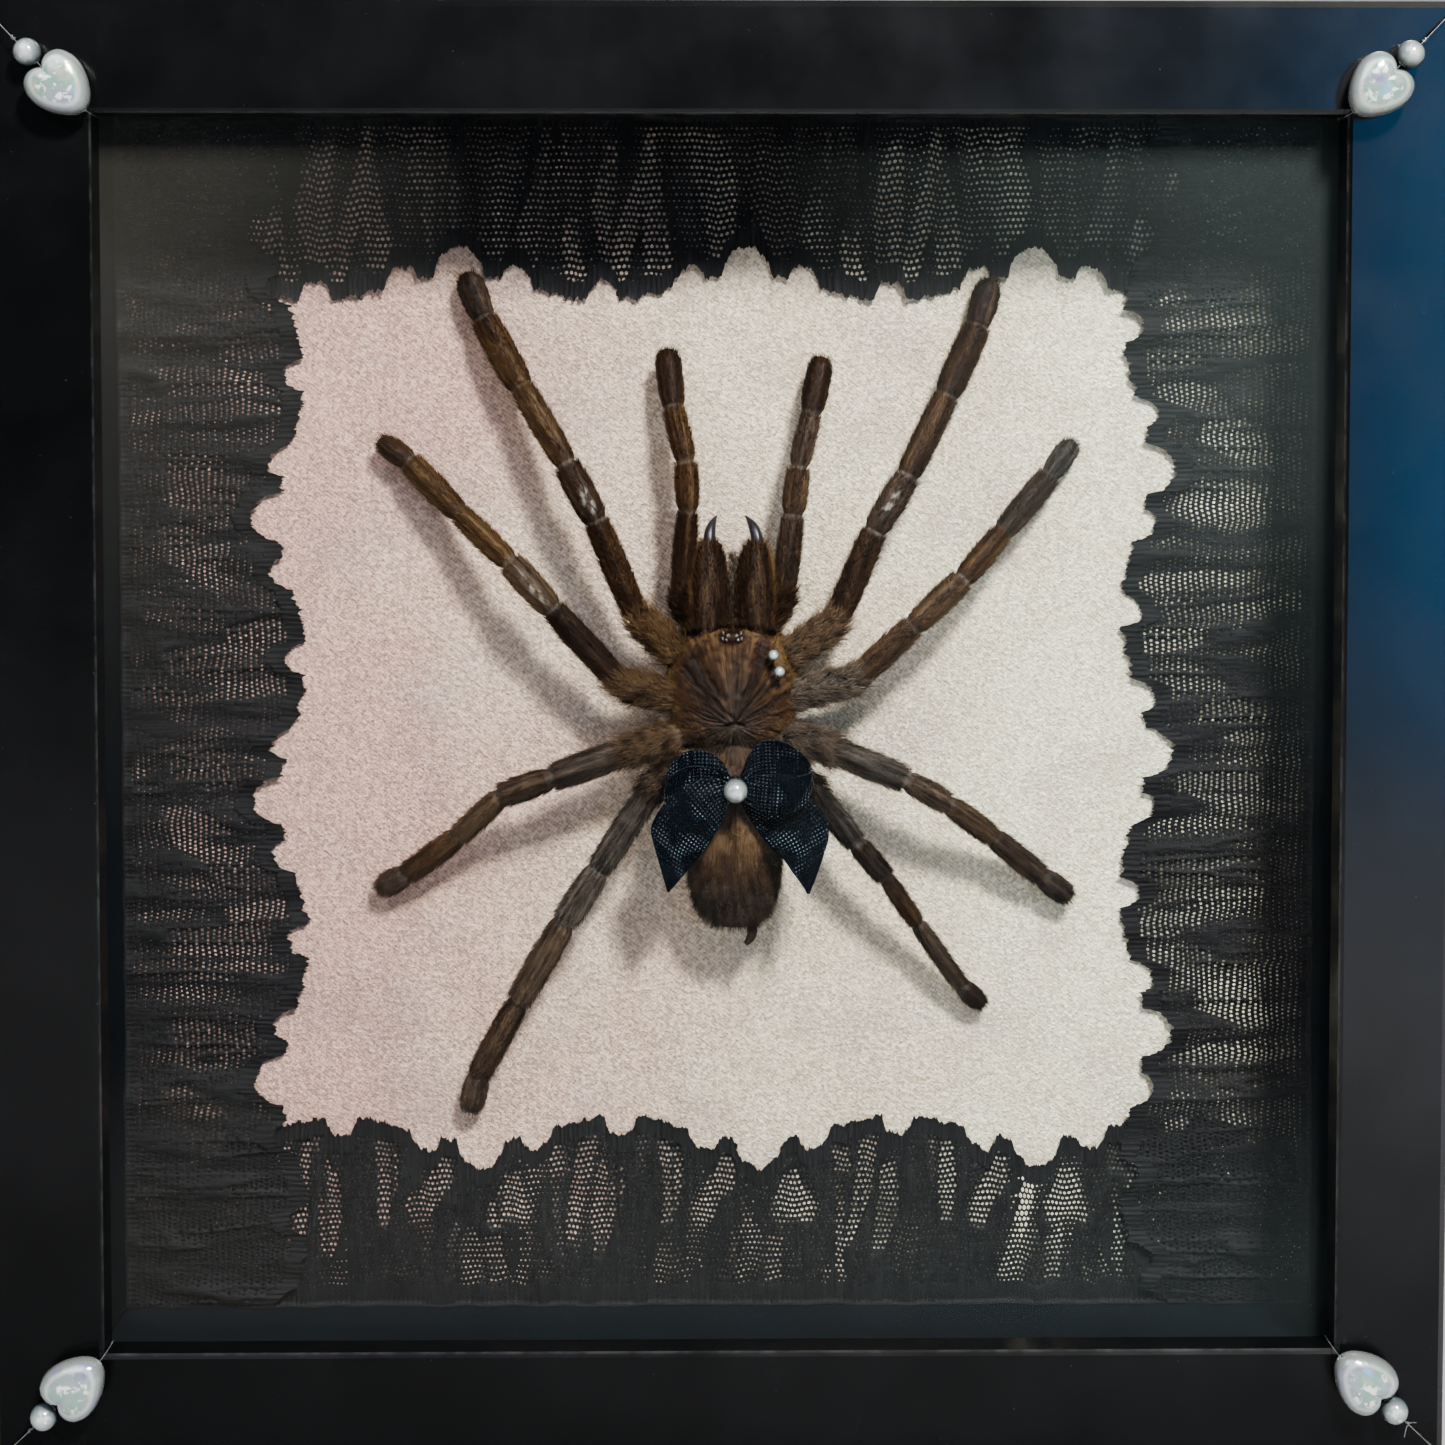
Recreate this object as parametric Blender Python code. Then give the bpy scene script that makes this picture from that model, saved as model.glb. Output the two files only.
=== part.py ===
"""Framed tarantula specimen: a small square shadow box that stands on its bottom rail.

Sizes are in millimetres and are turned into metres where a mesh is made.  The part stands upright:
X runs to the right of someone who looks at the glass, Y runs from the front face to the back, and
Z is up.  The origin is the middle of the bottom rail's underside.  A place inside the box is given
by x, z and a height above the cloth, which is measured from the satin towards the glass.
"""

import math

import bmesh
import bpy
from mathutils import Matrix, Vector

MM = 0.001

# ---- The moulding -------------------------------------------------------------------------------
FRAME_SIDE = 236.0
FRAME_DEPTH = 40.0
FACE_WIDTH = 18.0
LIP_DEPTH = 6.0
REBATE_WALL = 12.0
FRONT_Y = -FRAME_DEPTH / 2
BACK_Y = FRAME_DEPTH / 2
LIP_BACK_Y = FRONT_Y + LIP_DEPTH
HALF = FRAME_SIDE / 2
MID_Z = FRAME_SIDE / 2
ROOT2 = math.sqrt(2.0)
MITRE_GAP = 0.15
CORNER_CHAMFER = 1.5

# ---- What lies in the rebate, from front to back -------------------------------------------------
FIT = 0.3
GLASS_FRONT_Y = LIP_BACK_Y + 0.6
GLASS_BACK_Y = GLASS_FRONT_Y + 2.0
CLOTH_Y = 11.0
CLOTH_THICK = 0.5
BOARD_BACK_Y = 14.0
BACKING_FRONT_Y = 14.4
BACKING_BACK_Y = 16.9
POINT_FRONT_Y = BACKING_BACK_Y + FIT
SPACER_THICK = 2.7
NIPPED_CORNER = 1.8

# ---- Corner beads and their thread ---------------------------------------------------------------
THREAD_RADIUS = 0.11
THREAD_CLEAR = 0.45
HEART_INSET = 14.4
HEART_WIDTH = 10.2
HEART_LONG = 10.4
HEART_THICK = 5.8
CORNER_PEARL_INSET = 8.9
CORNER_PEARL_RADIUS = 2.2
BEAD_BORE = 0.5
HEART_Y = FRONT_Y - FIT - HEART_THICK / 2
CORNER_PEARL_Y = FRONT_Y - FIT - CORNER_PEARL_RADIUS

# ---- Lace trims ----------------------------------------------------------------------------------
LACE_THICK = 0.6
LACE_OUTER = 102.6
LACE_LOWER = 0.4
LACE_UPPER = 1.4
# Scoops in one repeat of the edge: place in the repeat, depth, half width as a share of the repeat
SCOOPS = ((0.0, 4.6, 0.085), (0.2, 2.9, 0.055), (0.5, 3.4, 0.055), (0.8, 2.9, 0.055))
# name, turns of 90 degrees from the bottom trim, height, deep scoop's middle, repeat, depth at it
LACE_TRIMS = (
    ("lace_bottom", 0, LACE_LOWER, 6.9, 48.3, 23.8),
    ("lace_right", 1, LACE_UPPER, -6.2, 49.0, 24.0),
    ("lace_top", 2, LACE_LOWER, -4.7, 49.2, 21.8),
    ("lace_left", 3, LACE_UPPER, 14.3, 48.8, 22.2),
)

# ---- The tarantula -------------------------------------------------------------------------------
BODY_X = 2.1
LEG_SIDES = 8
FLAT_SIDED = 1.0 / math.cos(math.pi / LEG_SIDES)
# Each limb: the middle of every joint from the body to the tip as (x, z, height), and the half
# width of each segment between them, hairs included.
LIMBS = {
    "leg_1_left": (
        [(-4, 127, 8.5), (-14, 136, 10.2), (-20.7, 152.2, 12), (-25.6, 161.7, 11.5),
         (-33.4, 174.6, 7), (-40, 186.3, 4.2), (-42.8, 193.2, 3.1)],
        [2.3, 2.35, 2.5, 2.25, 2.6, 2.5]),
    "leg_2_left": (
        [(-4, 121.5, 8.5), (-16.8, 124.8, 10.2), (-28, 137.4, 12), (-35.2, 145.3, 11.5),
         (-44, 153.3, 7), (-52.6, 161.9, 4), (-57.4, 165.3, 2.8)],
        [2.3, 2.35, 2.45, 2.1, 2.25, 2.1]),
    "leg_3_left": (
        [(-4, 117, 8.5), (-15.9, 113.2, 10.2), (-28.2, 109.1, 12), (-36.9, 105.9, 11),
         (-44.4, 98.4, 7), (-53.5, 91.4, 4), (-58.2, 88.8, 2.9)],
        [2.4, 2.65, 2.3, 2.05, 2.15, 2.25]),
    "leg_4_left": (
        [(-2, 114, 8.2), (-11.5, 107, 9.6), (-20.5, 93.5, 11.6), (-26.3, 84.5, 11.2),
         (-34.3, 70.2, 7.5), (-41.5, 56.6, 4.2), (-42.9, 50.6, 2.9)],
        [2.2, 2.35, 2.5, 2.45, 2.2, 2.3]),
    "leg_1_right": (
        [(8.2, 127, 8.5), (19.6, 135.2, 10.2), (25.8, 150.5, 12), (31.4, 159.7, 11.5),
         (38.3, 173.1, 7), (43.9, 185, 4.2), (46, 192.2, 3.1)],
        [2.3, 2.4, 2.4, 2.3, 2.6, 2.5]),
    "leg_2_right": (
        [(8.2, 121.5, 8.5), (22.8, 125.4, 10.2), (32.4, 134.5, 12), (40.7, 142.3, 11.5),
         (47.9, 150, 7), (56.3, 159.6, 4), (60.2, 164.8, 2.8)],
        [2.3, 2.35, 2.3, 2.1, 2.25, 2.1]),
    "leg_3_right": (
        [(8.2, 117, 8.5), (18.9, 113.5, 10.2), (31.3, 108.7, 12), (38.4, 104.5, 11),
         (46.5, 98.2, 7), (55.3, 90.8, 4), (60, 87.2, 2.8)],
        [2.4, 2.55, 2.1, 2, 2.1, 2.2]),
    "leg_4_right": (
        [(6.5, 114, 8.2), (16, 106.5, 9.6), (22.9, 97.9, 11.4), (28, 92, 10.6),
         (33.5, 83.6, 7.4), (41.6, 71.8, 3.9), (45.2, 68.4, 2.5)],
        [2.1, 2.1, 1.95, 1.5, 1.5, 1.85]),
    "palp_left": (
        [(-1, 130, 8.5), (-6.6, 139, 9.2), (-5.4, 153.7, 10), (-5.7, 162, 9.5),
         (-7.8, 171.2, 7), (-8.8, 179.9, 4.4)],
        [1.8, 1.95, 2.1, 1.95, 2.35]),
    "palp_right": (
        [(5.2, 130, 8.5), (10.9, 139.5, 9.2), (12.3, 153.1, 10), (13.3, 161.1, 9.5),
         (15.5, 170.2, 7), (17.2, 178.6, 4.4)],
        [1.8, 2.1, 2.1, 1.85, 2.3]),
}
# Stations of a trunk piece: z, half width, height of the top and of the underside
CARAPACE = (
    (115.2, 3.6, 11.6, 6.0), (116.4, 7.0, 12.6, 5.0), (119.4, 9.9, 13.4, 4.2),
    (123.8, 10.9, 14.2, 3.6), (128.0, 10.2, 14.4, 3.8), (131.6, 8.7, 14.2, 4.6),
    (133.6, 7.6, 13.8, 5.4), (134.9, 5.6, 12.8, 7.0),
)
ABDOMEN = (
    (116.2, 1.6, 10.6, 7.6), (113.0, 3.2, 12.2, 5.6), (109.0, 5.4, 13.8, 4.2),
    (103.5, 7.2, 15.2, 3.3), (97.5, 8.1, 15.8, 3.0), (92.5, 8.2, 15.4, 3.0),
    (88.5, 7.3, 14.2, 3.6), (85.4, 5.4, 12.6, 5.0), (83.7, 3.2, 10.8, 7.0),
)
TRUNK_SIDES = 14
CHELICERA = ((132.0, 3.1, 13.2, 6.0), (136.0, 3.3, 13.6, 5.6), (141.5, 3.25, 13.2, 5.8),
             (145.6, 2.6, 12.0, 6.2), (148.6, 1.5, 10.4, 7.0))
CHELICERA_X = {"left": -1.75, "right": 5.95}
FANG = {"left": ((-1.3, 147.6, 8.8), (-1.5, 150.2, 7.8), (-0.3, 153.0, 5.4)),
        "right": ((6.2, 147.6, 8.8), (5.9, 150.4, 7.8), (4.2, 153.0, 5.4))}
FANG_RADIUS = 0.75
SPINNERET = ((4.2, 85.0, 9.4), (5.6, 82.4, 9.4), (6.3, 80.6, 10.2))
SPINNERET_RADIUS = 0.85
EYES_AT = (2.0, 133.0, 14.1)
EYES_HALF = (1.5, 1.0, 0.9)

# ---- The ribbon bow ------------------------------------------------------------------------------
RIBBON_THICK = 0.4
KNOT_AT = (2.5, 108.4, 16.0)
KNOT_HALF = (1.9, 2.0, 1.5)
BOW_PEARL_RADIUS = 2.1
BOW_PEARL_HEIGHT = KNOT_AT[2] + KNOT_HALF[2] + FIT + BOW_PEARL_RADIUS
# side: reach in x, tilt of the far end in z, half width, middle height, bulge
LOOPS = {"left": (-11.4, 2.0, 5.4, 16.6, 1.1), "right": (12.8, 1.4, 6.1, 18.2, 1.5)}
# Rows from the knot to the tip: outer edge (x, z), inner edge (x, z), height
TAILS = {
    "left": (((1.6, 110.2), (2.4, 107.0), 17.0), ((-4.5, 110.6), (1.0, 104.6), 18.6),
             ((-10.4, 108.6), (-0.4, 101.2), 19.0), ((-11.5, 103.4), (-2.4, 97.4), 19.2),
             ((-10.0, 97.0), (-5.4, 94.0), 19.2), ((-8.5, 91.4), (-8.1, 91.2), 19.2)),
    "right": (((3.4, 110.0), (2.6, 107.2), 15.4), ((12.0, 107.6), (4.0, 104.2), 15.7),
              ((17.2, 105.0), (6.2, 101.6), 16.3), ((17.6, 101.6), (8.2, 99.0), 16.8),
              ((16.2, 96.2), (11.4, 95.2), 17.4), ((14.8, 91.4), (14.4, 91.2), 18.0)),
}

# ---- Small pearls on the carapace ----------------------------------------------------------------
CARAPACE_PEARLS = (("carapace_pearl_1", 8.9, 130.1, 14.1), ("carapace_pearl_2", 9.9, 127.3, 13.9))
CARAPACE_PEARL_RADIUS = 0.95

# ---- Fixings on the back -------------------------------------------------------------------------
POINT_SIZE = (6.0, 10.5, 0.5)
POINT_AT = 50.0
POINT_IN_WALL = 2.6
SLOT_SIZE = (6.8, 6.0, 1.2)
HANGER_SIZE = (44.0, 8.0, 0.8)
HANGER_Z = FRAME_SIDE - REBATE_WALL / 2
HANGER_NAIL_X = 18.0
TOOTH_COUNT = 9
TOOTH_DEPTH = 1.6
NAIL_RADIUS = 0.6
NAIL_LENGTH = 6.0
NAIL_HEAD_RADIUS = 1.7
NAIL_HEAD_THICK = 0.6

for old in list(bpy.data.objects):
    bpy.data.objects.remove(old, do_unlink=True)

parts = bpy.data.collections.new("framed_tarantula")
tools = bpy.data.collections.new("cutters")
bpy.context.scene.collection.children.link(parts)
bpy.context.scene.collection.children.link(tools)


# ---- Materials -----------------------------------------------------------------------------------
def material(name, colour, roughness, metallic=0.0, alpha=1.0):
    """A Principled material of one colour."""
    made = bpy.data.materials.new(name)
    made.use_nodes = True
    shader = made.node_tree.nodes["Principled BSDF"]
    shader.inputs["Base Color"].default_value = (*colour, 1.0)
    shader.inputs["Roughness"].default_value = roughness
    shader.inputs["Metallic"].default_value = metallic
    shader.inputs["Alpha"].default_value = alpha
    made.diffuse_color = (*colour, alpha)
    return made


BLACK_PAINT = material("black_paint", (0.012, 0.012, 0.014), 0.45)
CLEAR_GLASS = material("clear_glass", (0.9, 0.95, 0.93), 0.02, alpha=0.2)
BLACK_CARD = material("black_card", (0.02, 0.02, 0.022), 0.8)
SATIN = material("pale_satin", (0.62, 0.52, 0.49), 0.45)
BOARD = material("grey_board", (0.35, 0.30, 0.24), 0.85)
LACE = material("black_lace", (0.016, 0.016, 0.017), 0.7)
CUTICLE = material("brown_cuticle", (0.055, 0.032, 0.018), 0.6)
RIBBON = material("navy_ribbon", (0.010, 0.014, 0.028), 0.5)
PEARL = material("pearl", (0.72, 0.74, 0.70), 0.2)
NYLON = material("clear_nylon", (0.7, 0.7, 0.7), 0.2)
STEEL = material("zinc_steel", (0.55, 0.55, 0.56), 0.35, metallic=1.0)


# ---- Helpers -------------------------------------------------------------------------------------
def inside(x, z, height):
    """The point at x and z, height above the cloth, in metres."""
    return Vector((x, CLOTH_Y - height, z)) * MM


def finish(name, mesh, made_of, collection=parts):
    """Links a mesh as one named object with its material."""
    thing = bpy.data.objects.new(name, mesh)
    mesh.materials.clear()
    mesh.materials.append(made_of)
    collection.objects.link(thing)
    return thing


def mesh_from(bm, name):
    """Closes the edit mesh into mesh data with its faces turned outwards."""
    bmesh.ops.recalc_face_normals(bm, faces=bm.faces[:])
    mesh = bpy.data.meshes.new(name)
    bm.to_mesh(mesh)
    bm.free()
    return mesh


def smooth(thing, angle=40.0):
    """Shades a round piece smooth, with its real corners kept sharp."""
    thing.data.shade_smooth()
    thing.data.set_sharp_from_angle(angle=math.radians(angle))
    return thing


def use(thing, other, operation):
    """Adds a Boolean modifier; other becomes a hidden cutter."""
    other.hide_render = True
    other.display_type = "WIRE"
    for held in list(other.users_collection):
        held.objects.unlink(other)
    tools.objects.link(other)
    change = thing.modifiers.new(operation.lower() + "_" + other.name, "BOOLEAN")
    change.operation = operation
    change.object = other
    change.solver = "EXACT"


def block(name, low, high, made_of, collection=parts):
    """A box between two corners in millimetres."""
    bm = bmesh.new()
    bmesh.ops.create_cube(bm, size=1.0)
    size = Vector(high) - Vector(low)
    centre = (Vector(high) + Vector(low)) / 2
    place = Matrix.Translation(centre * MM) @ Matrix.Diagonal((*(size * MM), 1.0))
    bmesh.ops.transform(bm, matrix=place, verts=bm.verts[:])
    return finish(name, mesh_from(bm, name), made_of, collection)


def rod(name, centre, radius, length, made_of, sides=10, collection=parts):
    """A cylinder along Y with its middle at centre, in millimetres."""
    bm = bmesh.new()
    bmesh.ops.create_cone(bm, cap_ends=True, segments=sides, radius1=radius * MM,
                          radius2=radius * MM, depth=length * MM)
    place = Matrix.Translation(Vector(centre) * MM) @ Matrix.Rotation(math.pi / 2, 4, "X")
    bmesh.ops.transform(bm, matrix=place, verts=bm.verts[:])
    return finish(name, mesh_from(bm, name), made_of, collection)


def ball(name, centre, radii, made_of, across=12, rings=8, collection=parts):
    """A sphere or ellipsoid; centre is a Vector in metres and radii are millimetres."""
    bm = bmesh.new()
    bmesh.ops.create_uvsphere(bm, u_segments=across, v_segments=rings, radius=1.0)
    place = Matrix.Translation(centre) @ Matrix.Diagonal((*(Vector(radii) * MM), 1.0))
    bmesh.ops.transform(bm, matrix=place, verts=bm.verts[:])
    return finish(name, mesh_from(bm, name), made_of, collection)


def loft(rings, name):
    """Joins rings of equally many points into a closed skin with a face at each end."""
    bm = bmesh.new()
    rows = [[bm.verts.new(point) for point in ring] for ring in rings]
    count = len(rows[0])
    for near, far in zip(rows, rows[1:]):
        for k in range(count):
            bm.faces.new((near[k], near[(k + 1) % count], far[(k + 1) % count], far[k]))
    bm.faces.new(rows[0])
    bm.faces.new(rows[-1])
    return mesh_from(bm, name)


def cut_plane(bm, point, normal):
    """Cuts away what lies past a plane and closes the cut."""
    everything = bm.verts[:] + bm.edges[:] + bm.faces[:]
    cut = bmesh.ops.bisect_plane(bm, geom=everything, plane_co=Vector(point) * MM,
                                 plane_no=normal, clear_outer=True)
    edges = [part for part in cut["geom_cut"] if isinstance(part, bmesh.types.BMEdge)]
    bmesh.ops.contextual_create(bm, geom=edges)


def turned(mesh, quarter_turns):
    """Turns a mesh made at the bottom of the frame about the frame's middle, to another side."""
    middle = Matrix.Translation(Vector((0.0, 0.0, MID_Z * MM)))
    turn = Matrix.Rotation(-quarter_turns * math.pi / 2, 4, "Y")
    mesh.transform(middle @ turn @ middle.inverted())
    return mesh


def mitred_bar(profile, corner_cut, name):
    """The bottom side of a square frame: profile points are (distance in from outside, y)."""
    bm = bmesh.new()
    ring = [bm.verts.new(Vector((-HALF, y, rise)) * MM) for rise, y in profile]
    face = bm.faces.new(ring)
    grown = bmesh.ops.extrude_face_region(bm, geom=[face])
    ends = [part for part in grown["geom"] if isinstance(part, bmesh.types.BMVert)]
    bmesh.ops.translate(bm, verts=ends, vec=Vector((FRAME_SIDE * MM, 0.0, 0.0)))
    shift = MITRE_GAP * ROOT2
    for side in (-1, 1):
        cut_plane(bm, (side * (HALF - shift), 0, 0), Vector((side, 0, 1)).normalized())
        cut_plane(bm, (side * (HALF - corner_cut * ROOT2), 0, 0),
                  Vector((side, 0, -1)).normalized())
    return mesh_from(bm, name)


def nipped_plate(name, half, front, back, nip, made_of, collection=parts):
    """A square plate in the rebate whose four corners are nipped off."""
    bm = bmesh.new()
    corner = (half, half - nip)
    outline = []
    for turn in range(4):
        angle = turn * math.pi / 2
        for a, b in (corner, corner[::-1]):
            x = a * math.cos(angle) - b * math.sin(angle)
            z = a * math.sin(angle) + b * math.cos(angle)
            outline.append(bm.verts.new(Vector((x, front, MID_Z + z)) * MM))
    face = bm.faces.new(outline)
    grown = bmesh.ops.extrude_face_region(bm, geom=[face])
    ends = [part for part in grown["geom"] if isinstance(part, bmesh.types.BMVert)]
    bmesh.ops.translate(bm, verts=ends, vec=Vector((0.0, (back - front) * MM, 0.0)))
    return finish(name, mesh_from(bm, name), made_of, collection)


# ---- The frame: four mitred rails ----------------------------------------------------------------
def rails():
    """An L-shaped moulding: a flat face with softened arrises, a lip and a deep rebate."""
    profile = (
        (1.2, FRONT_Y), (FACE_WIDTH - 0.7, FRONT_Y), (FACE_WIDTH, FRONT_Y + 0.7),
        (FACE_WIDTH, LIP_BACK_Y), (REBATE_WALL, LIP_BACK_Y), (REBATE_WALL, BACK_Y),
        (0.7, BACK_Y), (0.0, BACK_Y - 0.7), (0.0, FRONT_Y + 1.2),
    )
    made = {}
    for turn, side in enumerate(("bottom", "right", "top", "left")):
        name = "frame_rail_" + side
        mesh = turned(mitred_bar(profile, CORNER_CHAMFER / ROOT2, name), turn)
        made[side] = finish(name, mesh, BLACK_PAINT)
        for k, along in enumerate((-POINT_AT, POINT_AT)):
            width, deep, high = SLOT_SIZE
            middle = POINT_FRONT_Y + POINT_SIZE[2] / 2
            slot = block(f"slot_{side}_{k + 1}", (along - width / 2, middle - high / 2,
                         REBATE_WALL - POINT_IN_WALL - FIT),
                         (along + width / 2, middle + high / 2, REBATE_WALL + deep), BLACK_PAINT)
            turned(slot.data, turn)
            use(made[side], slot, "DIFFERENCE")
            point = block(f"point_{side}_{k + 1}",
                          (along - POINT_SIZE[0] / 2, POINT_FRONT_Y, REBATE_WALL - POINT_IN_WALL),
                          (along + POINT_SIZE[0] / 2, POINT_FRONT_Y + POINT_SIZE[2],
                           REBATE_WALL - POINT_IN_WALL + POINT_SIZE[1]), STEEL)
            turned(point.data, turn)
    return made


# ---- Glass, spacers, boards and cloth ------------------------------------------------------------
def filling():
    """Everything flat that is dropped into the rebate from the back."""
    half = HALF - REBATE_WALL - FIT
    nipped_plate("glass_pane", half, GLASS_FRONT_Y, GLASS_BACK_Y, NIPPED_CORNER, CLEAR_GLASS)
    inset = HALF - half
    strip = ((inset, GLASS_BACK_Y + FIT), (inset + SPACER_THICK, GLASS_BACK_Y + FIT),
             (inset + SPACER_THICK, CLOTH_Y - FIT), (inset, CLOTH_Y - FIT))
    nip_distance = inset * ROOT2 + NIPPED_CORNER / ROOT2
    for turn, side in enumerate(("bottom", "right", "top", "left")):
        name = "spacer_" + side
        finish(name, turned(mitred_bar(strip, nip_distance, name), turn), BLACK_CARD)
    cloth = nipped_plate("satin_cloth", half - 0.3, CLOTH_Y, BOARD_BACK_Y, NIPPED_CORNER, SATIN)
    hollow = nipped_plate("cloth_hollow", half - 0.3 - CLOTH_THICK, CLOTH_Y + CLOTH_THICK,
                          BOARD_BACK_Y + 1.0, NIPPED_CORNER, SATIN, tools)
    use(cloth, hollow, "DIFFERENCE")
    nipped_plate("mount_board", half - 0.6 - CLOTH_THICK, CLOTH_Y + CLOTH_THICK + FIT,
                 BOARD_BACK_Y, NIPPED_CORNER, BOARD)
    nipped_plate("backing_board", half, BACKING_FRONT_Y, BACKING_BACK_Y, NIPPED_CORNER, BOARD)


# ---- Lace trims ----------------------------------------------------------------------------------
def lace_edge(along, middle, repeat, depth):
    """The trim's depth at a place along it: lobes that rise and fall over one repeat, with round
    scoops cut in between them."""
    phase = (along - middle) / repeat
    swell = 0.5 - 0.5 * math.cos(2 * math.pi * phase)
    lobe = depth + 4.6 + 4.6 * swell
    edge = lobe
    for at, cut, half_width in SCOOPS:
        away = abs((phase - at + 0.5) % 1.0 - 0.5) / half_width
        if away < 1.0:
            edge = min(edge, lobe - cut * math.sqrt(1.0 - away * away))
    return edge


def lace_trims():
    """Four flat trims with a scalloped inner edge; the side trims lie over the other two."""
    for name, turn, height, middle, repeat, depth in LACE_TRIMS:
        along = {-LACE_OUTER, LACE_OUTER}
        for k in range(-3, 4):
            for at, cut, half_width in SCOOPS:
                for part_way in (-1.0, -0.65, 0.0, 0.65, 1.0):
                    along.add(middle + repeat * (k + at + part_way * half_width))
        along = sorted(x for x in along if abs(x) <= LACE_OUTER)
        inner = [(x, LACE_OUTER - lace_edge(x, middle, repeat, depth)) for x in along]
        outline = [(LACE_OUTER, LACE_OUTER), (-LACE_OUTER, LACE_OUTER)] + inner
        drawing = bpy.data.curves.new(name, "CURVE")
        drawing.dimensions = "2D"
        drawing.fill_mode = "BOTH"
        drawing.extrude = LACE_THICK / 2 * MM
        line = drawing.splines.new("POLY")
        line.points.add(len(outline) - 1)
        line.use_cyclic_u = True
        for point, (x, out) in zip(line.points, outline):
            point.co = (x * MM, -out * MM, 0.0, 1.0)
        drawing.materials.append(LACE)
        trim = bpy.data.objects.new(name, drawing)
        parts.objects.link(trim)
        level = CLOTH_Y - height - LACE_THICK / 2
        trim.location = Vector((0.0, level, MID_Z)) * MM
        trim.rotation_euler = (math.pi / 2, -turn * math.pi / 2, 0.0)


# ---- The tarantula: one dried body ---------------------------------------------------------------
def limb_mesh(name, joints, widths):
    """A limb of round segments, each swollen in its middle and waisted at the joints."""
    spine = [inside(*joint) for joint in joints]
    rings = []
    count = len(widths)
    for k, width in enumerate(widths):
        start, end = spine[k], spine[k + 1]
        ahead = (end - start).normalized()
        if k == 0:
            stations = ((0.0, 0.9), (0.55, 1.0), (0.94, 0.84))
        elif k == count - 1:
            stations = ((0.06, 0.84), (0.45, 1.02), (0.98, 0.8), (1.12, 0.35))
        else:
            stations = ((0.07, 0.84), (0.5, 1.02), (0.93, 0.84))
        side = ahead.cross(Vector((0.0, 1.0, 0.0))).normalized()
        upward = side.cross(ahead).normalized()
        for along, scale in stations:
            centre = start.lerp(end, along)
            radius = width * scale * FLAT_SIDED * MM
            rings.append([
                centre + radius * (math.cos(turn) * side + math.sin(turn) * upward)
                for turn in (2 * math.pi * (j + 0.5) / LEG_SIDES for j in range(LEG_SIDES))
            ])
    return loft(rings, name)


def trunk_mesh(name, middle_x, stations, sides=TRUNK_SIDES, shape=2.0):
    """A body piece through oval stations; shape above 2 squares the oval off."""
    rings = []
    for z, half_width, top, under in stations:
        middle = (top + under) / 2
        ring = []
        for j in range(sides):
            turn = 2 * math.pi * (j + 0.5) / sides
            c, s = math.cos(turn), math.sin(turn)
            x = half_width * math.copysign(abs(c) ** (2 / shape), c)
            h = (top - middle) * math.copysign(abs(s) ** (2 / shape), s)
            ring.append(inside(middle_x + x, z, middle + h))
        rings.append(ring)
    return loft(rings, name)


def horn_mesh(name, route, radius, steps=6, sides=8):
    """A curved spike: a circle carried along a bent line, thinning to its tip."""
    first, bend, last = (inside(*point) for point in route)
    rings = []
    for k in range(steps):
        t = k / (steps - 1)
        centre = first.lerp(bend, t).lerp(bend.lerp(last, t), t)
        ahead = ((bend - first) * (1 - t) + (last - bend) * t).normalized()
        side = ahead.cross(Vector((0.0, 1.0, 0.0))).normalized()
        upward = side.cross(ahead)
        size = radius * MM * (1.0 - 0.85 * t * t)
        rings.append([
            centre + size * (math.cos(turn) * side + math.sin(turn) * upward)
            for turn in (2 * math.pi * j / sides for j in range(sides))
        ])
    return loft(rings, name)


def tarantula():
    """Carapace, abdomen, jaws, fangs, spinneret, palps and legs, grown together as one solid."""
    body = finish("tarantula", trunk_mesh("tarantula", BODY_X, CARAPACE, shape=2.3), CUTICLE)
    grown = [finish("abdomen", trunk_mesh("abdomen", BODY_X + 0.4, ABDOMEN), CUTICLE)]
    for side, x in CHELICERA_X.items():
        jaw = trunk_mesh("chelicera_" + side, x, CHELICERA, sides=10)
        grown.append(finish("chelicera_" + side, jaw, CUTICLE))
        fang = horn_mesh("fang_" + side, FANG[side], FANG_RADIUS)
        grown.append(finish("fang_" + side, fang, CUTICLE))
    hook = horn_mesh("spinneret", SPINNERET, SPINNERET_RADIUS)
    grown.append(finish("spinneret", hook, CUTICLE))
    grown.append(ball("eyes", inside(*EYES_AT), (EYES_HALF[0], EYES_HALF[2], EYES_HALF[1]),
                      CUTICLE, 8, 6))
    for name, (joints, widths) in LIMBS.items():
        grown.append(finish(name, limb_mesh(name, joints, widths), CUTICLE))
    for piece in grown:
        use(body, piece, "UNION")
    return body


# ---- The ribbon bow ------------------------------------------------------------------------------
def sheet_mesh(rows, thick, name):
    """A ribbon: a grid of points given a thickness along its own normals."""
    bm = bmesh.new()
    grid = [[bm.verts.new(point) for point in row] for row in rows]
    for near, far in zip(grid, grid[1:]):
        for k in range(len(near) - 1):
            bm.faces.new((near[k], near[k + 1], far[k + 1], far[k]))
    bmesh.ops.recalc_face_normals(bm, faces=bm.faces[:])
    bmesh.ops.solidify(bm, geom=bm.faces[:], thickness=thick * MM)
    return mesh_from(bm, name)


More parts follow.
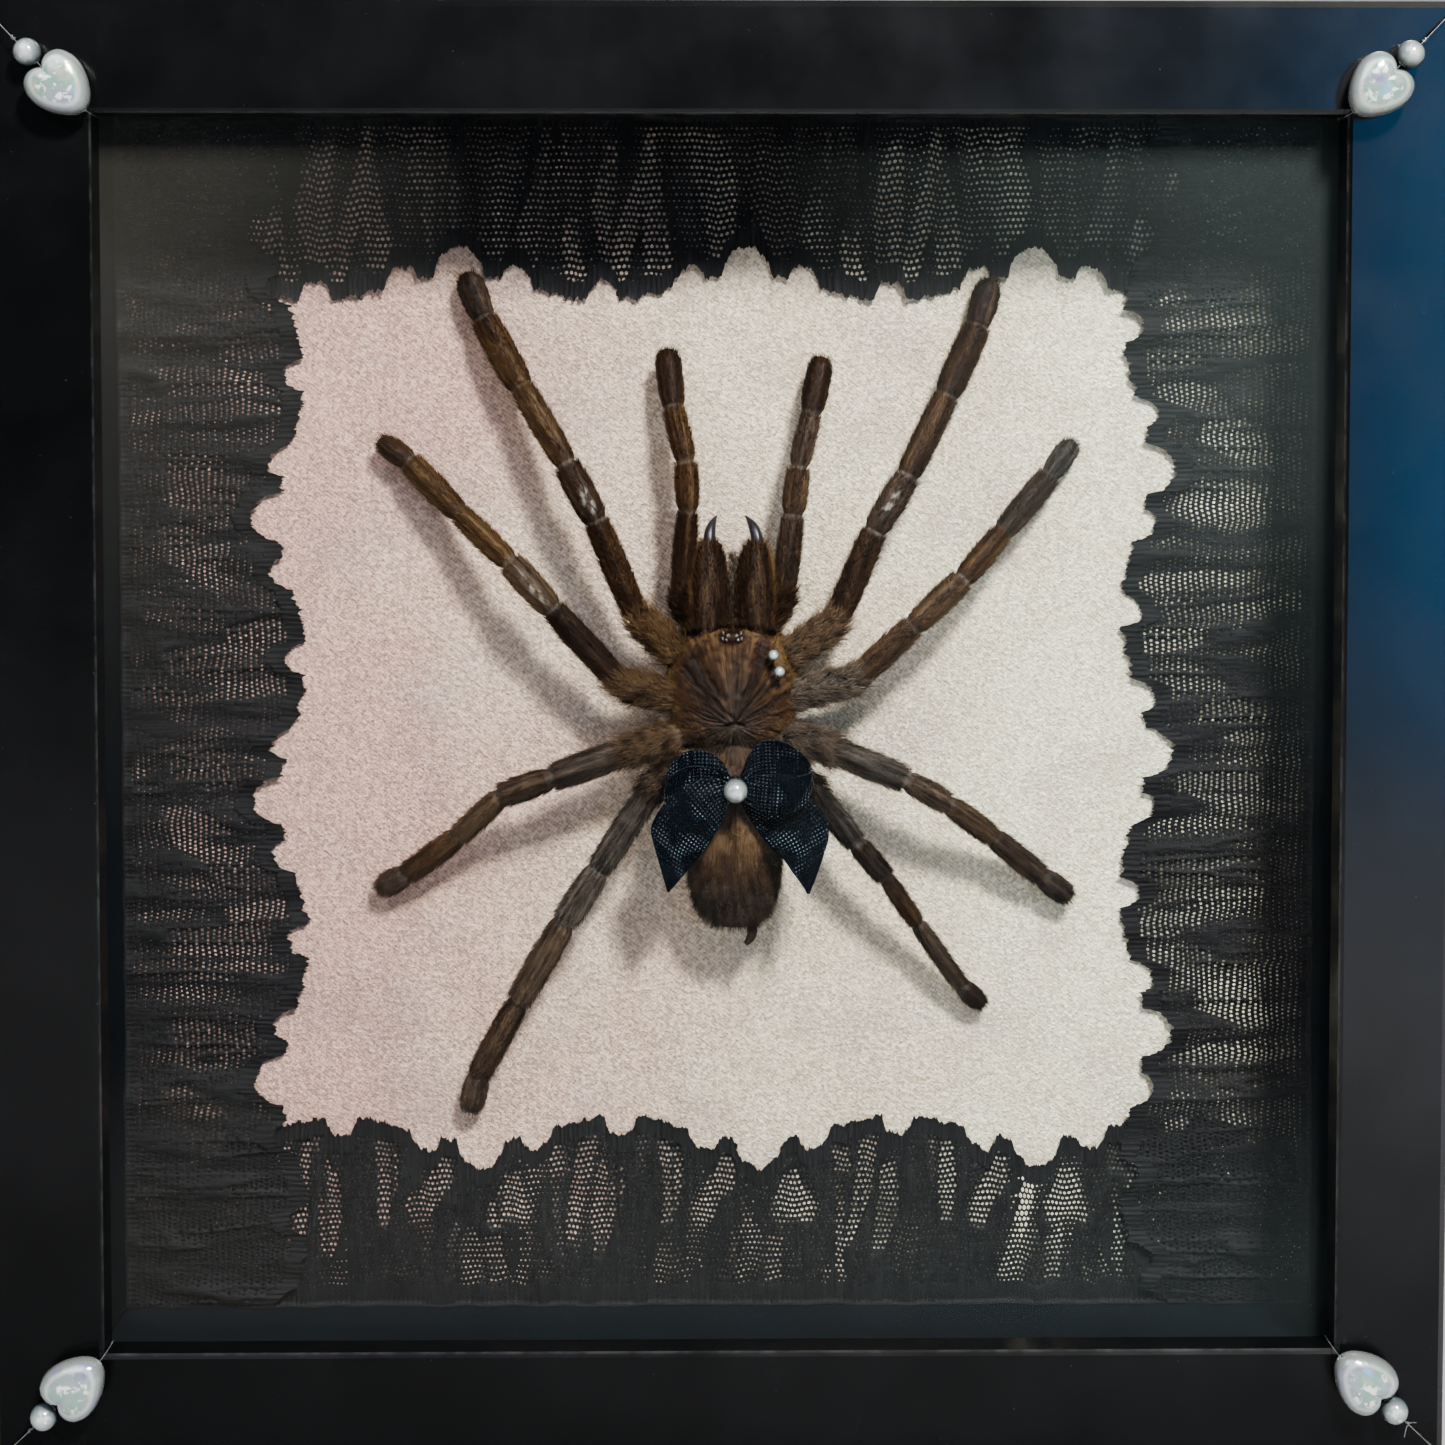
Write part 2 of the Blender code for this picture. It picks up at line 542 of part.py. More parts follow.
def loop_mesh(name, reach, tilt, half_width, height, bulge):
    """An oval loop that leaves the knot in front, turns at its far end and comes back behind."""
    rows = []
    steps = 10
    opening = math.radians(150.0)
    for k in range(steps + 1):
        turn = opening * (1.0 - 2.0 * k / steps)
        out = (1.0 + math.cos(turn)) / 2
        wide = half_width * (0.28 + 0.72 * math.sin(math.pi * 0.72 * out) ** 0.8)
        x = KNOT_AT[0] + reach * out
        h = height + bulge * math.sin(turn) - (height - KNOT_AT[2]) * (1.0 - out) ** 2
        z = KNOT_AT[1] + tilt * out
        rows.append([inside(x, z + wide * v, h - 0.5 * v * v) for v in (-1, 0, 1)])
    return sheet_mesh(rows, RIBBON_THICK, name)


def ribbon_bow():
    """One ribbon: two loops, two pointed tails and the knot, all of one piece."""
    knot = ball("ribbon_bow", inside(*KNOT_AT), (KNOT_HALF[0], KNOT_HALF[2], KNOT_HALF[1]),
                RIBBON, 12, 8)
    for side in ("left", "right"):
        name = "loop_" + side
        use(knot, finish(name, loop_mesh(name, *LOOPS[side]), RIBBON), "UNION")
        rows = []
        for outer, inner, height in TAILS[side]:
            a, b = inside(*outer, height), inside(*inner, height)
            rows.append([a, a.lerp(b, 0.5), b])
        name = "tail_" + side
        use(knot, finish(name, sheet_mesh(rows, RIBBON_THICK, name), RIBBON), "UNION")
    ball("bow_pearl", inside(KNOT_AT[0], KNOT_AT[1], BOW_PEARL_HEIGHT), (BOW_PEARL_RADIUS,) * 3,
         PEARL, 12, 8)
    for name, x, z, height in CARAPACE_PEARLS:
        ball(name, inside(x, z, height + CARAPACE_PEARL_RADIUS + FIT),
             (CARAPACE_PEARL_RADIUS,) * 3, PEARL, 8, 6)


# ---- Corner beads --------------------------------------------------------------------------------
def heart_point(turn, ring):
    """A plump heart: the outline shrinks towards two poles, front and back, on a round section.
    turn goes round the outline from the notch, and ring goes from the front pole to the back."""
    notch, lobe, tip = 6.2, 10.2, -15.4
    across = math.sin(ring) ** 0.8
    x = HEART_WIDTH / 2 * math.copysign(abs(math.sin(turn)) ** 2.2, math.sin(turn))
    y = 12.4 * math.cos(turn) - 4.6 * math.cos(2 * turn) - 1.6 * math.cos(3 * turn)
    y = (y - notch / 2) * across + notch / 2 - (lobe + tip) / 2
    lift = math.copysign(abs(math.cos(ring)) ** 0.9, math.cos(ring)) * HEART_THICK / 2
    return Vector((x * across, -lift, y * HEART_LONG / (lobe - tip))) * MM


def heart_mesh(name, around=18, rings=6):
    """The heart's skin, its tip pointing down, with a closed cap at each pole."""
    skin = [[heart_point(2 * math.pi * (k + 0.5) / around, math.pi * r / rings)
             for k in range(around)] for r in range(1, rings)]
    return loft(skin, name)


def corner(side_x, side_z, name):
    """A heart, a pearl and the thread that goes through both and round the moulding.  Places are
    given by the distance from the frame's outer corner along the mitre, and by y."""
    def place(distance, y):
        x = side_x * (HALF - distance / ROOT2)
        z = MID_Z + side_z * (HALF - distance / ROOT2)
        return Vector((x, y, z)) * MM

    inward = math.atan2(-side_z, -side_x)
    lean = Matrix.Rotation(-(inward + math.pi / 2), 4, "Y")
    mesh = heart_mesh("corner_heart_" + name)
    mesh.transform(Matrix.Translation(place(HEART_INSET * ROOT2, HEART_Y)) @ lean)
    heart = smooth(finish("corner_heart_" + name, mesh, PEARL))
    pearl = smooth(ball("corner_pearl_" + name, place(CORNER_PEARL_INSET * ROOT2, CORNER_PEARL_Y),
                        (CORNER_PEARL_RADIUS,) * 3, PEARL, 10, 6))
    for bead, distance, y in ((heart, HEART_INSET * ROOT2, HEART_Y),
                              (pearl, CORNER_PEARL_INSET * ROOT2, CORNER_PEARL_Y)):
        bm = bmesh.new()
        bmesh.ops.create_cone(bm, cap_ends=True, segments=6, radius1=BEAD_BORE * MM,
                              radius2=BEAD_BORE * MM, depth=16 * MM)
        turn = Matrix.Rotation(math.pi / 2 - inward, 4, "Y")
        bmesh.ops.transform(bm, matrix=Matrix.Translation(place(distance, y)) @ turn,
                            verts=bm.verts[:])
        bore = finish("bore_" + bead.name, mesh_from(bm, "bore_" + bead.name), PEARL)
        use(bead, bore, "DIFFERENCE")

    outer = CORNER_CHAMFER / ROOT2 - THREAD_CLEAR
    rim = FACE_WIDTH * ROOT2
    wall = REBATE_WALL * ROOT2 + 0.8
    route = (
        (outer, FRONT_Y + 1.0), (outer + 0.5, FRONT_Y - 0.2), (outer + 1.6, FRONT_Y - 0.7),
        (CORNER_PEARL_INSET * ROOT2 - 2.6, CORNER_PEARL_Y),
        (CORNER_PEARL_INSET * ROOT2 + 2.6, CORNER_PEARL_Y), (HEART_INSET * ROOT2 - 4.6, HEART_Y),
        (HEART_INSET * ROOT2 + 5.2, HEART_Y), (rim + 0.35, FRONT_Y - 0.9),
        (rim + 0.62, FRONT_Y + 0.4), (rim + 0.55, LIP_BACK_Y - 0.4), (rim + 0.2, LIP_BACK_Y + 0.3),
        (wall + 0.4, LIP_BACK_Y + 0.3), (wall, LIP_BACK_Y + 0.9), (wall, BACK_Y - 0.3),
        (wall - 0.5, BACK_Y + 0.4), (outer + 1.6, BACK_Y + THREAD_CLEAR),
        (outer + 0.4, BACK_Y + 0.1), (outer, BACK_Y - 1.0),
    )
    drawing = bpy.data.curves.new("corner_thread_" + name, "CURVE")
    drawing.dimensions = "3D"
    drawing.bevel_depth = THREAD_RADIUS * MM
    drawing.bevel_resolution = 0
    line = drawing.splines.new("POLY")
    line.points.add(len(route) - 1)
    line.use_cyclic_u = True
    for point, (distance, y) in zip(line.points, route):
        point.co = (*place(distance, y), 1.0)
    drawing.materials.append(NYLON)
    parts.objects.link(bpy.data.objects.new("corner_thread_" + name, drawing))


# ---- The hanger on the back of the top rail ------------------------------------------------------
def hanger(top_rail):
    """A sawtooth hanger: a thin steel strip with teeth along its lower edge and two nails."""
    length, tall, thick = HANGER_SIZE
    bm = bmesh.new()
    y = BACK_Y + FIT
    low = HANGER_Z - tall / 2
    high = HANGER_Z + tall / 2
    outline = [(length / 2, low), (length / 2, high), (-length / 2, high), (-length / 2, low)]
    pitch = 3.0
    start = -TOOTH_COUNT * pitch / 2
    for k in range(TOOTH_COUNT):
        outline += [(start + k * pitch, low), (start + (k + 0.5) * pitch, low + TOOTH_DEPTH)]
    outline.append((-start, low))
    face = bm.faces.new([bm.verts.new(Vector((x, y, z)) * MM) for x, z in outline])
    grown = bmesh.ops.extrude_face_region(bm, geom=[face])
    ends = [part for part in grown["geom"] if isinstance(part, bmesh.types.BMVert)]
    bmesh.ops.translate(bm, verts=ends, vec=Vector((0.0, thick * MM, 0.0)))
    strip = finish("sawtooth_hanger", mesh_from(bm, "sawtooth_hanger"), STEEL)
    for k, x in enumerate((-HANGER_NAIL_X, HANGER_NAIL_X)):
        hole = rod(f"nail_hole_{k + 1}", (x, BACK_Y, HANGER_Z), NAIL_RADIUS + FIT,
                   2 * NAIL_LENGTH, STEEL, 8)
        use(strip, hole, "DIFFERENCE")
        use(top_rail, hole, "DIFFERENCE")
        head_y = y + thick + FIT
        nail = rod(f"hanger_nail_{k + 1}", (x, head_y + NAIL_HEAD_THICK / 2, HANGER_Z),
                   NAIL_HEAD_RADIUS, NAIL_HEAD_THICK, STEEL, 10)
        shank = rod(f"nail_shank_{k + 1}", (x, head_y + 0.2 - NAIL_LENGTH / 2, HANGER_Z),
                    NAIL_RADIUS, NAIL_LENGTH, STEEL, 8)
        use(nail, shank, "UNION")


moulding = rails()
filling()
lace_trims()
smooth(tarantula())
ribbon_bow()
for bead_x, bead_z, bead_corner in ((-1, 1, "top_left"), (1, 1, "top_right"),
                                    (-1, -1, "bottom_left"), (1, -1, "bottom_right")):
    corner(bead_x, bead_z, bead_corner)
hanger(moulding["top"])
print("parts:", len(parts.objects))
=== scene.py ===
# %% [markdown]
# # A framed tarantula, dressed for its photograph
#
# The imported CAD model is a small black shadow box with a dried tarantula, a satin ground, four
# lace trims, a ribbon bow and pearl beads.  Its solids have the right places and sizes, but plain
# skins.  What is already right, such as the mitred rails, gets a finish here.  The soft and fine
# things are built again: net, cloth, ribbon, beads, and the animal with its hairs.
#
# Everything is in metres in the CAD's own axes: X to the right, Y from the glass to the back, Z
# up.

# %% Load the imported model
import math

import bmesh
import bpy
import numpy as np
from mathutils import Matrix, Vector


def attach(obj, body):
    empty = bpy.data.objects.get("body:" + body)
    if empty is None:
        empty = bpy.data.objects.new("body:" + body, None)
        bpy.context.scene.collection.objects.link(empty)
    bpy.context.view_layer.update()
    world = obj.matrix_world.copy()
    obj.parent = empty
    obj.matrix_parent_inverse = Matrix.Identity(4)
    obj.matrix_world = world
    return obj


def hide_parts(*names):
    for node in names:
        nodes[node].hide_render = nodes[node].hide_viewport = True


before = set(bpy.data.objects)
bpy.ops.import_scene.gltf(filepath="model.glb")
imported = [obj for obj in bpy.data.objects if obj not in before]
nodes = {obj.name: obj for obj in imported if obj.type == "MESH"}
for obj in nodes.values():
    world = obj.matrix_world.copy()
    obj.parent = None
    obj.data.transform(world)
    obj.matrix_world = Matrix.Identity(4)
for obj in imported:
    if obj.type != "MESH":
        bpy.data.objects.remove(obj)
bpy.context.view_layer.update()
MM = 0.001

# %% [markdown]
# ## From arrays to meshes
#
# A surface is an array of points worked out from two parameters, and its faces are index
# arithmetic.  The first helper writes both into a mesh in a few calls.  A pattern that follows the
# surface, such as the run of a weave, goes with it as a named attribute, which a material can
# read.


# %% Helpers for meshes
def piece(name, points, faces, material, attributes=None, replaces=(), slot=None):
    """A mesh object from points in metres, (n, 3), and a list of face arrays with one row of point
    numbers to a face.  Attributes are arrays with one value, or one vector, to a point."""
    mesh = bpy.data.meshes.new(name)
    mesh.vertices.add(len(points))
    mesh.vertices.foreach_set("co", np.asarray(points, np.float32).ravel())
    corners = np.concatenate([np.asarray(f).ravel() for f in faces])
    sizes = np.concatenate([np.full(len(f), np.asarray(f).shape[1]) for f in faces])
    mesh.loops.add(len(corners))
    mesh.loops.foreach_set("vertex_index", corners.astype(np.int32))
    mesh.polygons.add(len(sizes))
    mesh.polygons.foreach_set("loop_start", (np.cumsum(sizes) - sizes).astype(np.int32))
    mesh.polygons.foreach_set("use_smooth", np.full(len(sizes), True))
    for title, values in (attributes or {}).items():
        values = np.asarray(values, np.float32)
        kind, field = ("FLOAT_VECTOR", "vector") if values.ndim == 2 else ("FLOAT", "value")
        mesh.attributes.new(title, kind, "POINT").data.foreach_set(field, values.ravel())
    mesh.update(calc_edges=True)
    mesh.validate()
    mesh.materials.append(material)
    made = bpy.data.objects.new(name, mesh)
    bpy.context.scene.collection.objects.link(made)
    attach(made, "root")
    if replaces:
        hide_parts(*replaces)
    return made


def thicken(made, thickness, offset):
    """Gives a sheet a thickness in millimetres; an offset of -1 puts it all behind the surface."""
    solid = made.modifiers.new("thickness", "SOLIDIFY")
    solid.thickness, solid.offset = thickness * MM, offset


def grid_faces(rows, columns, wrap_rows=False, wrap_columns=False, first=0):
    """Quads of a grid whose point (r, c) has the number first + r * columns + c."""
    r = np.arange(rows if wrap_rows else rows - 1)[:, None]
    c = np.arange(columns if wrap_columns else columns - 1)[None, :]
    r2, c2 = (r + 1) % rows, (c + 1) % columns
    quads = np.stack(np.broadcast_arrays(r * columns + c, r * columns + c2,
                                         r2 * columns + c2, r2 * columns + c), -1)
    return quads.reshape(-1, 4) + first


def unit(vectors):
    """Vectors scaled to length 1 along their last axis."""
    return vectors / np.maximum(np.linalg.norm(vectors, axis=-1, keepdims=True), 1e-12)


def around(count):
    """Evenly spaced turns that go once round a circle, in radians."""
    return np.linspace(0, 2 * np.pi, count, endpoint=False)


def circle(size, turn):
    """The two coordinates of places on a circle."""
    return size * np.cos(turn), size * np.sin(turn)


def smoothstep(low, high, x):
    """0 below low, 1 above high, and a smooth rise between them."""
    t = np.clip((x - low) / (high - low), 0, 1)
    return t * t * (3 - 2 * t)


def bell(x, middle, width):
    """A bell curve: 1 at its middle and 0.37 at one width from it."""
    return np.exp(-(((x - middle) / width) ** 2))


def ripple(seed, *axes, waves=6, lowest=1.0, highest=4.0):
    """Smooth noise between about -1 and 1: a sum of sine waves in random directions."""
    draw = np.random.default_rng(seed)
    total = np.zeros(np.broadcast(*axes).shape)
    for _ in range(waves):
        pull = draw.normal(size=len(axes))
        pull *= draw.uniform(lowest, highest) / np.linalg.norm(pull)
        total = total + np.sin(sum(p * a for p, a in zip(pull, axes)) + draw.uniform(0, 2 * np.pi))
    return total / math.sqrt(waves)


# %% [markdown]
# ## A short way to write materials
#
# Every finish here is a Principled shader with a few textures before it.  The class below shortens
# the usual node code: its methods add nodes, and take either a number or another node's output for
# each input.  Numbers that are the same all over a surface stay on the shader's sockets.


# %% Helpers for materials
class Finish:
    """A material in the making: its shader's plain sockets are set when it is made."""

    def __init__(self, name, **sockets):
        self.material = bpy.data.materials.new(name)
        self.material.use_nodes = True
        self.tree = self.material.node_tree
        self.shader = self.tree.nodes["Principled BSDF"]
        for key, value in sockets.items():
            self.shader.inputs[key.replace("_", " ")].default_value = value

    def node(self, kind, inputs=None, output=0, **settings):
        """Adds a node, fills its inputs with numbers or links, and returns one output."""
        made = self.tree.nodes.new("ShaderNode" + kind)
        for key, value in settings.items():
            setattr(made, key, value)
        for key, value in (inputs or {}).items():
            if isinstance(value, bpy.types.NodeSocket):
                self.tree.links.new(value, made.inputs[key])
            else:
                made.inputs[key].default_value = value
        return made.outputs[output]

    def place(self, scale=(1, 1, 1), turn=(0, 0, 0)):
        """Object coordinates, stretched and turned."""
        where = self.node("TexCoord", output="Object")
        return self.node("Mapping", {"Vector": where, "Scale": scale, "Rotation": turn})

    def own(self, title, vector=False):
        """The piece's own attribute, as a number or as a vector."""
        return self.node("Attribute", output="Vector" if vector else "Fac", attribute_name=title)

    def split(self, vector=None):
        """The X, Y and Z of a vector, or of the object coordinates."""
        if vector is None:
            vector = self.node("TexCoord", output="Object")
        return self.node("SeparateXYZ", {0: vector}, "X").node.outputs

    def stretched(self, vector, scale):
        """A vector times a scale on each axis."""
        return self.node("Mapping", {"Vector": vector, "Scale": scale})

    def noise(self, vector, scale, detail=3.0, roughness=0.55):
        """Cloudy noise from 0 to 1; scale is in clouds to a metre."""
        return self.node("TexNoise", {"Vector": vector, "Scale": scale, "Detail": detail,
                                      "Roughness": roughness})

    def sums(self, operation, first, second=0.0, third=0.0):
        """One step of arithmetic."""
        return self.node("Math", {0: first, 1: second, 2: third}, operation=operation)

    def times(self, first, second):
        """A product."""
        return self.sums("MULTIPLY", first, second)

    def wave(self, value, length):
        """The sine of a value in metres, with its wave length in millimetres."""
        return self.sums("SINE", self.times(value, 2 * math.pi / (length * MM)))

    def spread(self, value, low, high, new_low=0.0, new_high=1.0):
        """Maps low..high to a new range, held at its ends."""
        return self.node("MapRange", {"Value": value, "From Min": low, "From Max": high,
                                      "To Min": new_low, "To Max": new_high})

    def ramp(self, value, *stops):
        """A colour for each value: stops are (place, (red, green, blue))."""
        made = self.tree.nodes.new("ShaderNodeValToRGB")
        band = made.color_ramp.elements
        while len(band) < len(stops):
            band.new(0.5)
        for element, (at, colour) in zip(band, stops):
            element.position = at
            element.color = (*colour, 1.0)
        self.tree.links.new(value, made.inputs[0])
        return made.outputs[0]

    def blend(self, share, first, second):
        """Mixes two colours; a share of 1 gives the second."""
        colours = [c if isinstance(c, bpy.types.NodeSocket) else (*c, 1.0) for c in (first, second)]
        return self.node("Mix", {"Factor": share, 6: colours[0], 7: colours[1]}, output=2,
                         data_type="RGBA")

    def bump(self, height, strength=0.3, distance=0.0002, under=None):
        """Turns a height into a bent normal; under is a normal to add it to."""
        inputs = {"Height": height, "Strength": strength, "Distance": distance}
        if under is not None:
            inputs["Normal"] = under
        return self.node("Bump", inputs)

    def set(self, **links):
        """Links outputs to the shader's sockets and returns the material."""
        for key, value in links.items():
            self.tree.links.new(value, self.shader.inputs[key.replace("_", " ")])
        return self.material


def dress(names, material):
    """Gives CAD nodes a finish."""
    for name in names:
        held = nodes[name].data.materials
        held.clear()
        held.append(material)


# %% [markdown]
# ## The camera and the studio
#
# The photograph was taken square to the glass from about 40 cm, with the lens a little above the
# middle.  Its picture plane is nearly parallel to the frame, so the rise of the lens is a vertical
# shift and not a tilt.  The main light hangs in front, above and to the right: it draws the legs'
# crisp shadows on the satin, down and a little to the left.  A weaker, much larger and cooler
# light on the left fills them to a quarter.  A tall cool one stands where the right rail mirrors
# it, which gives that rail its blue sheen.  A last one, behind the frame, shows only when it is
# turned round.

# %% Camera, floor and lights
IMAGE_SIDE = 1445
FOCAL_PIXELS = 2500
SENSOR = 36.0
LENS_AT = (-0.0038, -0.4195, 0.1707)
LENS_DOWN, LENS_TURN = 2.55, -0.67
SHIFT_PIXELS = -200
FRAME_MIDDLE = (0.0, 0.0, 0.118)
PICTURE_NUDGE = -4
SKY_STRENGTH = 0.07
KEY_POWER, FILL_POWER, COOL_POWER, REAR_POWER = 29.0, 11.5, 1.7, 9.0

lens = bpy.data.cameras.new("camera")
lens.sensor_width = SENSOR
lens.lens = FOCAL_PIXELS / IMAGE_SIDE * SENSOR
lens.shift_x, lens.shift_y = PICTURE_NUDGE / IMAGE_SIDE, SHIFT_PIXELS / IMAGE_SIDE
lens.clip_start = 0.01
camera = bpy.data.objects.new("camera", lens)
camera.location = LENS_AT
camera.rotation_euler = (math.radians(90 - LENS_DOWN), 0.0, math.radians(LENS_TURN))
bpy.context.scene.collection.objects.link(camera)
bpy.context.scene.camera = camera

world = bpy.data.worlds.new("studio")
world.use_nodes = True
sky = world.node_tree.nodes["Background"]
sky.inputs["Color"].default_value = (0.95, 0.98, 1.0, 1.0)
sky.inputs["Strength"].default_value = SKY_STRENGTH
bpy.context.scene.world = world


def lamp(name, toward, distance, size, power, colour):
    """A soft light of a width and height, at a distance from the frame's middle."""
    light = bpy.data.lights.new(name, "AREA")
    light.shape = "RECTANGLE"
    light.size, light.size_y = size
    light.energy = power
    light.color = colour
    made = bpy.data.objects.new(name, light)
    direction = Vector(toward).normalized()
    made.location = Vector(FRAME_MIDDLE) + direction * distance
    made.rotation_euler = direction.to_track_quat("Z", "Y").to_euler()
    bpy.context.scene.collection.objects.link(made)


lamp("key_light", (0.38, -1.0, 0.97), 0.95, (0.12, 0.12), KEY_POWER, (0.98, 0.98, 1.0))
lamp("left_fill", (-0.6, -1.0, 1.2), 1.2, (0.8, 0.8), FILL_POWER, (0.82, 0.82, 1.0))
lamp("cool_side", (0.45, -1.0, 0.06), 1.10, (0.12, 0.50), COOL_POWER, (0.02, 0.40, 1.0))
lamp("rear_soft", (0.4, 0.9, 1.5), 1.6, (1.0, 1.0), REAR_POWER, (1.0, 0.98, 0.95))

stage_finish = Finish("stage_paper", Roughness=0.9)
paper = stage_finish.noise(stage_finish.place(), 9.0, 2.0)
stage_finish.set(Base_Color=stage_finish.ramp(paper, (0.3, (0.34, 0.335, 0.33)),
                                              (0.7, (0.38, 0.375, 0.37))))
FLOOR_REACH, WALL_AT, WALL_HEIGHT, BEND = 2.4, 1.1, 2.0, 0.5
bend = np.linspace(0, np.pi / 2, 13)
run = np.concatenate([[-FLOOR_REACH], WALL_AT - BEND + BEND * np.sin(bend), [WALL_AT]])
rise = np.concatenate([[0.0], BEND - BEND * np.cos(bend), [WALL_HEIGHT]])
sweep = np.stack([np.repeat([[-FLOOR_REACH, FLOOR_REACH]], len(run), 0),
                  np.repeat(run[:, None], 2, 1), np.repeat(rise[:, None], 2, 1)], -1)
backdrop = piece("backdrop", sweep.reshape(-1, 3), [grid_faces(len(run), 2)],
                 stage_finish.material)
print("lens in mm:", round(lens.lens, 2), "shift:", round(lens.shift_y, 3))


# %% [markdown]
# ## The black moulding
#
# The four rails are already right in the CAD: a flat face with softened arrises, mitred corners and
# a deep rebate.  Only their skin is missing.  On the real frame it is a satin black lacquer over
# wood: a fine orange-peel grain, a shine that is uneven and dull low down, and a paler line along
# the inner arris.  All of it is painted from the object's own coordinates, because the rails are
# straight and their arrises lie at known distances from the frame's middle.

# %% Lacquer for the rails
SIGHT_HALF, FRONT = 0.100, -0.020


def arris_distance(finish, half):
    """How far a point is from the square ring of the given half side, on the two axes of the face:
    the larger of |x| and |z - middle|, less half."""
    axes = finish.split()
    across = finish.sums("ABSOLUTE", axes["X"])
    upward = finish.sums("ABSOLUTE", finish.sums("SUBTRACT", axes["Z"], FRAME_MIDDLE[2]))
    off = finish.sums("SUBTRACT", finish.sums("MAXIMUM", across, upward), half)
    return finish.sums("ABSOLUTE", off), axes["Y"]


def lacquer():
    """Black lacquer: mottle in colour and roughness, a fine peel in the bump, and a paler line
    along the inner arris.
    """
    made = Finish("black_lacquer")
    where = made.place()
    mottle = made.noise(where, 60.0, 4.0)
    peel = made.noise(where, 2600.0, 2.0)
    drift = made.noise(where, 14.0, 2.0)
    away, depth = arris_distance(made, SIGHT_HALF)
    # A paler line along the inner arris, broken up by noise.
    line = made.times(made.spread(away, 0.00005, 0.0004, 1.0, 0.0),
                      made.spread(depth, FRONT + 0.0010, FRONT + 0.0006, 0.0, 1.0))
    line_breaks = made.spread(made.noise(where, 240.0, 4.0, 0.7), 0.44, 0.6)
    pale_arris_line = made.times(line, made.spread(line_breaks, 0.0, 1.0, 0.25, 1.0))
    speck = made.spread(made.noise(where, 1500.0, 1.0), 0.76, 0.8)
    black = made.ramp(mottle, (0.3, (0.0010, 0.0011, 0.0011)), (0.7, (0.0018, 0.0019, 0.0019)))
    colour = made.blend(pale_arris_line, black, (0.020, 0.020, 0.019))
    colour = made.blend(made.times(speck, 0.3), colour, (0.06, 0.06, 0.06))
    rough = made.sums("ADD", made.spread(drift, 0.3, 0.7, 0.20, 0.26),
                      made.spread(mottle, 0.3, 0.7, -0.03, 0.03))
    axes = made.split()
    level = made.times(made.spread(axes["X"], -0.1, 0.112, 0.16, 0.36),
                       made.spread(axes["Z"], 0.0, 0.08, 0.3, 1.0))
    level = made.times(level, made.spread(mottle, 0.3, 0.7, 0.9, 1.1))
    return made.set(Base_Color=colour, Roughness=rough, Specular_IOR_Level=level,
                    Normal=made.bump(peel, 0.12, 0.00006,
                                     made.bump(made.noise(where, 420.0, 3.0), 0.10, 0.0001)))


dress([n for n in nodes if n.startswith("frame_rail_")], lacquer())

# %% [markdown]
# ## Card spacers
#
# Between the glass and the cloth stand four strips of black card, of which the camera sees little
# more than the lower one.  Card has no shine, a soft fibre and a slightly greyer tone than lacquer,
# and its colour is tinted blue: a painted reflection of the cool light on the right.


# %% Card for the spacers
def card():
    """Black card: fibres as noise that is stretched along the strip, in colour and in bump; the
    colour's blue tint is a painted reflection.
    """
    made = Finish("black_card_fibre_painted_blue", Roughness=0.88, Specular_IOR_Level=0.05)
    fibre = made.noise(made.place((1.0, 3.0, 1.0)), 900.0, 4.0)
    cloud = made.noise(made.place(), 80.0, 3.0)
    # Both ramps are tinted blue: a painted reflection of the cool light.
    tone = made.blend(0.5, made.ramp(fibre, (0.3, (0.0006, 0.0014, 0.0025)),
                                     (0.7, (0.0016, 0.0036, 0.0062))),
                      made.ramp(cloud, (0.3, (0.0007, 0.0013, 0.0020)),
                                (0.7, (0.0013, 0.0030, 0.0052))))
    return made.set(Base_Color=tone, Normal=made.bump(fibre, 0.35, 0.0001))


dress([n for n in nodes if n.startswith("spacer_")], card())

# %% [markdown]
# ## The glass
#
# A pane in front of everything must let lamps through, or the specimen would be lit by noise alone.
# So the pane is a clear shader, which passes light straight on, mixed with a mirror by the Fresnel
# share, which is small because picture glass is coated.  A diffuse share scatters a little light:
# it is a painted reflection of the room in the glass, next to none in the middle, faint low down,
# and up to one per cent towards the upper corners, where it veils the lace.


